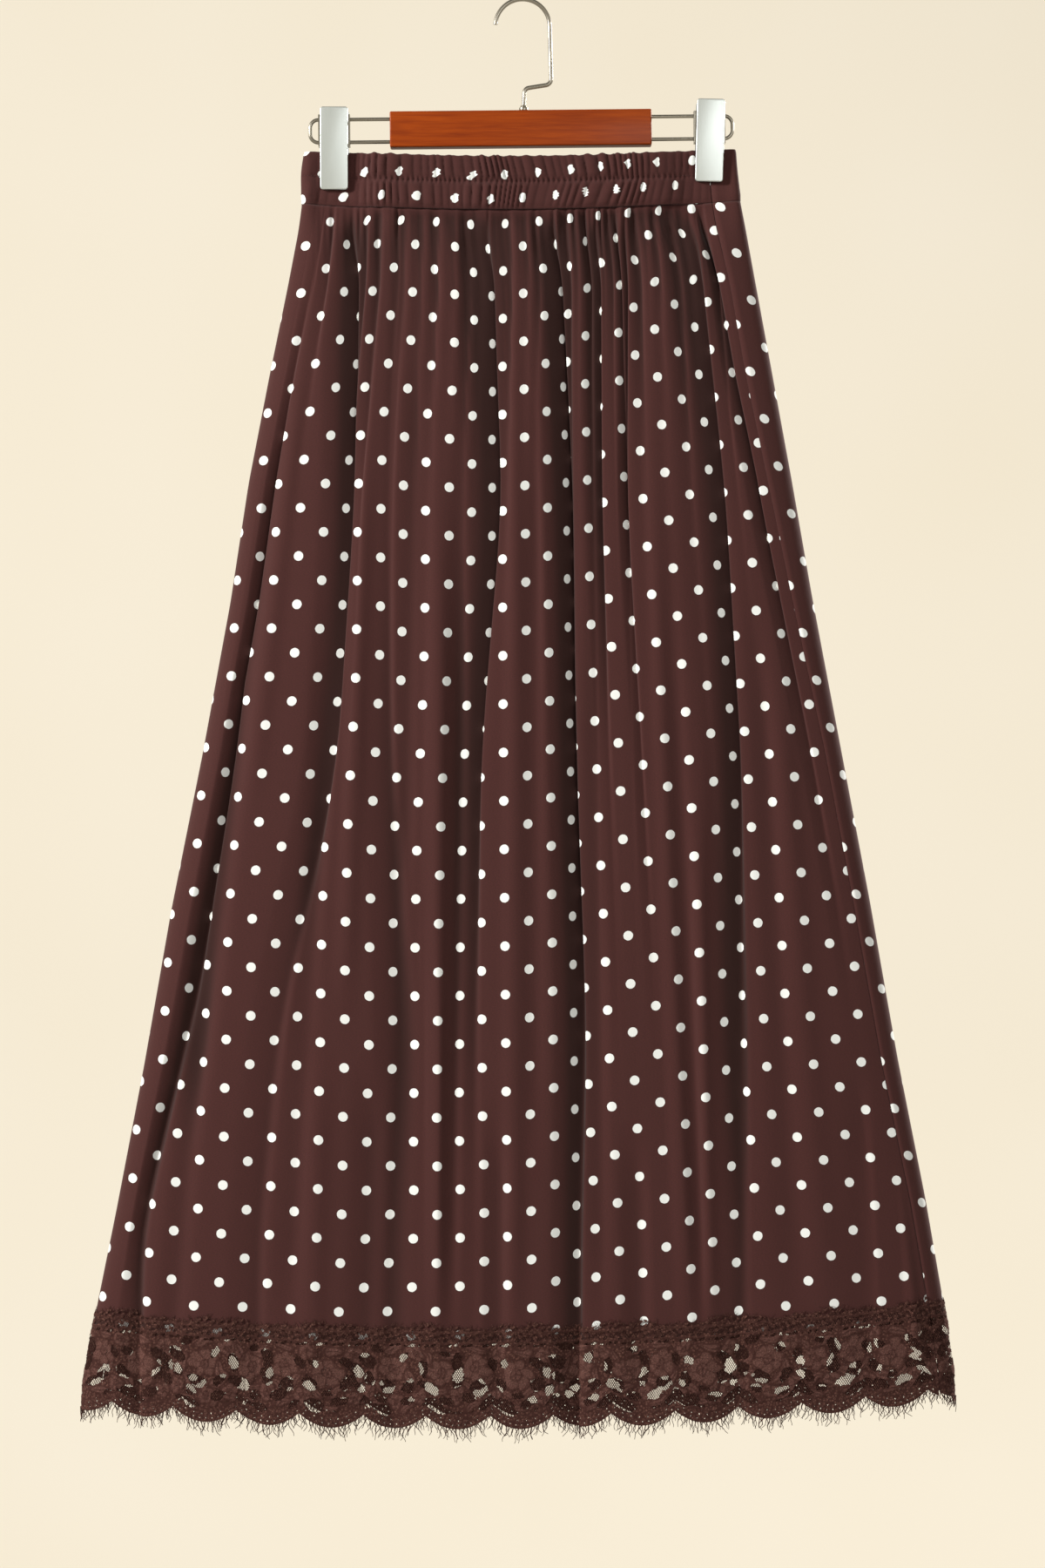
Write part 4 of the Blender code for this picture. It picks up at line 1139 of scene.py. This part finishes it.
bar = add_block("wooden_bar", BAR_SIZE)
ease_edges(bar, BAR_EDGE, 4, 50)
bar.data.transform(hanger_frame)
bar.data.materials.append(varnished_wood)
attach(bar, "root")
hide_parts("hanger_bar")


# Wire hook and loops: drawn steel wire, bent cold and plated. The hook stands in its collar,
# and the ends of each loop are pressed into the bar, so that a clip slides along its two
# straight stretches.

HOOK_WIRE = 1.7
HOOK_BEND = 21.5
LOOP_WIRE = 1.45
LOOP_BEND = 6.5
LOOP_HALF = 9.0

# Drawn wire, plated bright and a little worn: its faint drawing marks break up the shine.
steel_wire, add, join, shader = new_material("nickel_plated_steel_wire", 0.32, 1.0)
place = add("ShaderNodeTexCoord")
drawn = add("ShaderNodeTexNoise", Vector=place.outputs["Object"], Scale=900.0, Detail=2.0)
steel_tone = add("ShaderNodeMix", {"data_type": "RGBA"}, Factor=drawn.outputs[0],
                 _6=colour("77736b"), _7=colour("928e85"))
join(steel_tone.outputs[2], shader.inputs["Base Color"])


def add_wire(name, points, radius, material, replaced):
    """Round wire through points in millimetres, as a mesh with closed ends."""
    curve = bpy.data.curves.new(name, "CURVE")
    curve.dimensions = "3D"
    curve.bevel_depth = radius * MM
    curve.bevel_resolution = 5
    curve.use_fill_caps = True
    spline = curve.splines.new("POLY")
    spline.points.add(len(points) - 1)
    for target, point in zip(spline.points, points):
        target.co = (*(Vector(point) * MM), 1)
    curve.materials.append(material)
    made = add_object(name, curve)
    bpy.ops.object.select_all(action="DESELECT")
    made.select_set(True)
    bpy.context.view_layer.objects.active = made
    bpy.ops.object.convert(target="MESH")
    made = bpy.context.object
    made.data.shade_smooth()
    made.data.set_sharp_from_angle(angle=math.radians(50))
    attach(made, "root")
    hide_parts(replaced)
    return made


def arc(centre_x, centre_z, radius, start, end, steps):
    """Points of an arc in the XZ plane, angles in degrees from +x."""
    angles = np.radians(np.linspace(start, end, steps + 1))
    return [(centre_x + radius * math.cos(a), 0, centre_z + radius * math.sin(a))
            for a in angles]


hook_points = arc(0, HOOK_WIRE - HOOK_BEND, HOOK_BEND, 176, 0, 48)
hook_points += arc(17.6, -61.5, 5, 0, -85, 10)
hook_points += arc(5.5, -72.5, 4, 95, 180, 8) + [(1.0, 0, -82.2)]
add_wire("hook_wire", hook_points, HOOK_WIRE, steel_wire, "hook")

for word, side, end_x in (("left", -1, -168.2), ("right", 1, 166.1)):
    root_x = side * (BAR_SIZE.x / MM / 2 + 0.1)
    bend_x = end_x - BAR_X - side * LOOP_BEND
    bend_z = LOOP_HALF - LOOP_BEND
    quarter = 90 * side
    path = [(root_x, 0, LOOP_HALF)]
    path += arc(bend_x, bend_z, LOOP_BEND, 90, 90 - quarter, 10)
    path += arc(bend_x, -bend_z, LOOP_BEND, 90 - quarter, 90 - 2 * quarter, 10)
    path += [(root_x, 0, -LOOP_HALF)]
    path = [tuple((hanger_frame @ (Vector(point) * MM)) / MM) for point in path]
    add_wire("bar_wire_" + word, path, LOOP_WIRE, steel_wire, "wire_loop_" + word)


# Collar: a turned and plated steel ferrule, pressed into the top of the bar. Its round foot
# rests on the wood, and the hook turns in its neck.

COLLAR_CENTRE = Vector((1.0, 0, -85.6)) * MM
COLLAR_RADIUS = 3.7 * MM
COLLAR_FLANGE = 2.6 * MM
COLLAR_NECK = 1.7 * MM
COLLAR_STEP = 1.1 * MM
COLLAR_EDGE = 0.35 * MM


def edit_parts(piece, kind, wanted):
    """Opens a piece in edit mode with only the wanted edges or faces selected."""
    bpy.ops.object.mode_set(mode="EDIT")
    bpy.ops.mesh.select_mode(type=kind)
    bpy.ops.mesh.select_all(action="DESELECT")
    bpy.ops.object.mode_set(mode="OBJECT")
    parts = piece.data.edges if kind == "EDGE" else piece.data.polygons
    for part in parts:
        part.select = wanted(part)
    bpy.ops.object.mode_set(mode="EDIT")


bpy.ops.object.select_all(action="DESELECT")
bpy.ops.mesh.primitive_cylinder_add(vertices=40, radius=COLLAR_RADIUS, depth=COLLAR_FLANGE)
collar = bpy.context.object
collar.name = "hook_collar"
edit_parts(collar, "FACE", lambda face: face.normal.z > 0.9)
bpy.ops.mesh.inset(thickness=COLLAR_STEP)
bpy.ops.mesh.extrude_region_move(TRANSFORM_OT_translate={"value": (0, 0, COLLAR_NECK)})
bpy.ops.object.mode_set(mode="OBJECT")
ease_edges(collar, COLLAR_EDGE, 2, 30)
collar.data.transform(Matrix.Translation(COLLAR_CENTRE))
collar.data.materials.append(steel_wire)
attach(collar, "root")
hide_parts("hook_ferrule")


# Clips: each is two plates, pressed from sheet steel into shallow trays whose hollow sides
# face each other, on a steel slide that runs along the wires of its loop. A spring presses
# their lower ends together over the waistband.

CLIP_SIZE = Vector((22, 3.4, 65)) * MM
CLIP_METAL = 1.2 * MM
CLIP_CORNER = 2.2 * MM
CLIP_EDGE = 0.7 * MM
CLIP_STAND_OFF = 6.3
CLIP_LEAN = math.radians(2.0)
Clip = namedtuple("Clip", "side x z turned")
CLIPS = (Clip("left", -149.0, -14.8, 0), Clip("right", 148.0, -11.5, 1.5))

# Satin plating on pressed steel: a broad soft sheen with no mirror image in it, broken by
# fine upright marks. They are drawn half a millimetre wide, coarser than real ones.
clip_metal, add, join, shader = new_material("satin_pressed_clip_metal", 0.42, 0.9)
place = add("ShaderNodeTexCoord")
satin_way = add("ShaderNodeMapping", Vector=place.outputs["Object"], Scale=(1800, 400, 60))
satin = add("ShaderNodeTexNoise", Vector=satin_way.outputs[0], Scale=1.0, Detail=2.0)
clip_tone = add("ShaderNodeMix", {"data_type": "RGBA"}, Factor=satin.outputs[0],
                _6=colour("b2b9ba"), _7=colour("bbc2c2"))
join(clip_tone.outputs[2], shader.inputs["Base Color"])

for clip in CLIPS:
    for face, label in ((-1, "front"), (1, "back")):
        plate = add_block("clip_plate_%s_%s" % (label, clip.side), CLIP_SIZE)
        corners = 0.9 * CLIP_SIZE.y
        edit_parts(plate, "EDGE", lambda edge: abs(
            plate.data.vertices[edge.vertices[0]].co.y
            - plate.data.vertices[edge.vertices[1]].co.y) > corners)
        bpy.ops.mesh.bevel(offset=CLIP_CORNER, segments=5, affect="EDGES")
        bpy.ops.object.mode_set(mode="OBJECT")
        edit_parts(plate, "FACE", lambda part: part.normal.y * face < -0.9)
        bpy.ops.mesh.inset(thickness=CLIP_METAL)
        bpy.ops.transform.translate(value=(0, face * (CLIP_SIZE.y - CLIP_METAL), 0))
        bpy.ops.object.mode_set(mode="OBJECT")
        ease_edges(plate, CLIP_EDGE, 3, 50)
        seat = Vector((clip.x - BAR_X, face * CLIP_STAND_OFF, clip.z)) * MM
        lean = Matrix.Rotation(math.radians(clip.turned) - HANGER_TILT, 4, "Y")
        lean = lean @ Matrix.Rotation(-face * CLIP_LEAN, 4, "X")
        plate.data.transform(hanger_frame @ Matrix.Translation(seat) @ lean)
        plate.data.materials.append(clip_metal)
        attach(plate, "root")
        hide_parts("clip_%s_%s" % (label, clip.side))
    slide = bpy.data.objects["clip_slide_" + clip.side]
    slide.data.materials.clear()
    slide.data.materials.append(steel_wire)


# Stage: a seamless sheet of pale cream paper that curves up far away on every side and is
# lit through from behind. One square lamp lights the skirt from the upper left in front and
# one from behind. A weak wide one softens the front, and a small one shines on the clips.

FLOOR_Z = -2600
WALL_REACH = 5400
WALL_TOP = 9800
CURVE_RADIUS = 1500
CURVE_STEPS = 14
STAGE_STEPS = 72
GLOW_BEHIND = 0.74
GLOW_IN_FRONT = 0.56
GLOW_REACH = 3.0
FLOOR_HOLE = 30

profile = [(FLOOR_HOLE, 0)]
for step in range(CURVE_STEPS + 1):
    angle = math.pi / 2 * step / CURVE_STEPS
    profile.append((WALL_REACH - CURVE_RADIUS * (1 - math.sin(angle)),
                    CURVE_RADIUS * (1 - math.cos(angle))))
profile.append((WALL_REACH, WALL_TOP))
turns = np.linspace(0, math.tau, STAGE_STEPS + 1)
bowl = np.array([[(reach * math.sin(turn), reach * math.cos(turn), FLOOR_Z + rise)
                  for turn in turns] for reach, rise in reversed(profile)]) * MM
backdrop = grid_mesh("paper_backdrop", bowl)
backdrop.visible_diffuse = False

# Cream paper with the light coming through it: an even pale glow with hardly any mottle,
# a little stronger behind the skirt than in front of it.
paper, add, join, shader = new_material("backlit_cream_paper", 0.9)
place = add("ShaderNodeTexCoord")
mottle = add("ShaderNodeTexNoise", Vector=place.outputs["Object"], Scale=1.5, Detail=1.0)
tint = add("ShaderNodeMix", {"data_type": "RGBA"}, Factor=mottle.outputs[0],
           _6=colour("efe3cb"), _7=colour("f3e9d6"))
join(tint.outputs[2], shader.inputs["Emission Color"])
shader.inputs["Base Color"].default_value = colour("a09a8c")
sides = add("ShaderNodeSeparateXYZ", Vector=place.outputs["Object"])
glow = add("ShaderNodeMapRange", Value=sides.outputs["Y"], _1=-GLOW_REACH, _2=GLOW_REACH,
           _3=GLOW_IN_FRONT, _4=GLOW_BEHIND)
join(glow.outputs[0], shader.inputs["Emission Strength"])
backdrop.data.materials.append(paper)


def add_area_light(name, place, target, size, power, tint):
    """Square soft light aimed at a point."""
    light = bpy.data.lights.new(name, "AREA")
    light.shape = "SQUARE"
    light.size = size
    light.energy = power
    light.color = tint
    made = add_object(name, light)
    made.location = place
    made.rotation_euler = (Vector(target) - Vector(place)).to_track_quat("-Z", "Y").to_euler()
    return made


key = add_area_light("key_light", (-3.4, -1.8, 1.0), (0, 0, -0.6), 0.6, 224, (1, 0.985, 0.95))
fill = add_area_light("fill_light", (2.4, -3.4, 0.2), (0, 0, -0.6), 2.4, 8, (1, 0.985, 0.96))
rear = add_area_light("rear_light", (3.4, 1.8, 1.0), (0, 0, -0.6), 0.6, 205, (1, 0.985, 0.96))
card = add_area_light("clip_card", (0.98, -3.0, 0.3), (0.15, 0, -0.1), 0.85, 20, (1, 1, 0.98))

world = bpy.data.worlds.new("studio_room")
world.use_nodes = True
world.node_tree.nodes["Background"].inputs["Color"].default_value = colour("f4f1ea")
world.node_tree.nodes["Background"].inputs["Strength"].default_value = 0.27
bpy.context.scene.world = world

camera_data = bpy.data.cameras.new("camera")
camera_data.lens = 69.6
camera_data.sensor_width = 36
camera = add_object("camera", camera_data)
camera.location = (0, -2.4, -0.6196)
camera.rotation_euler = (math.pi / 2, 0, 0)
bpy.context.scene.camera = camera
bpy.context.scene.view_settings.view_transform = "Standard"
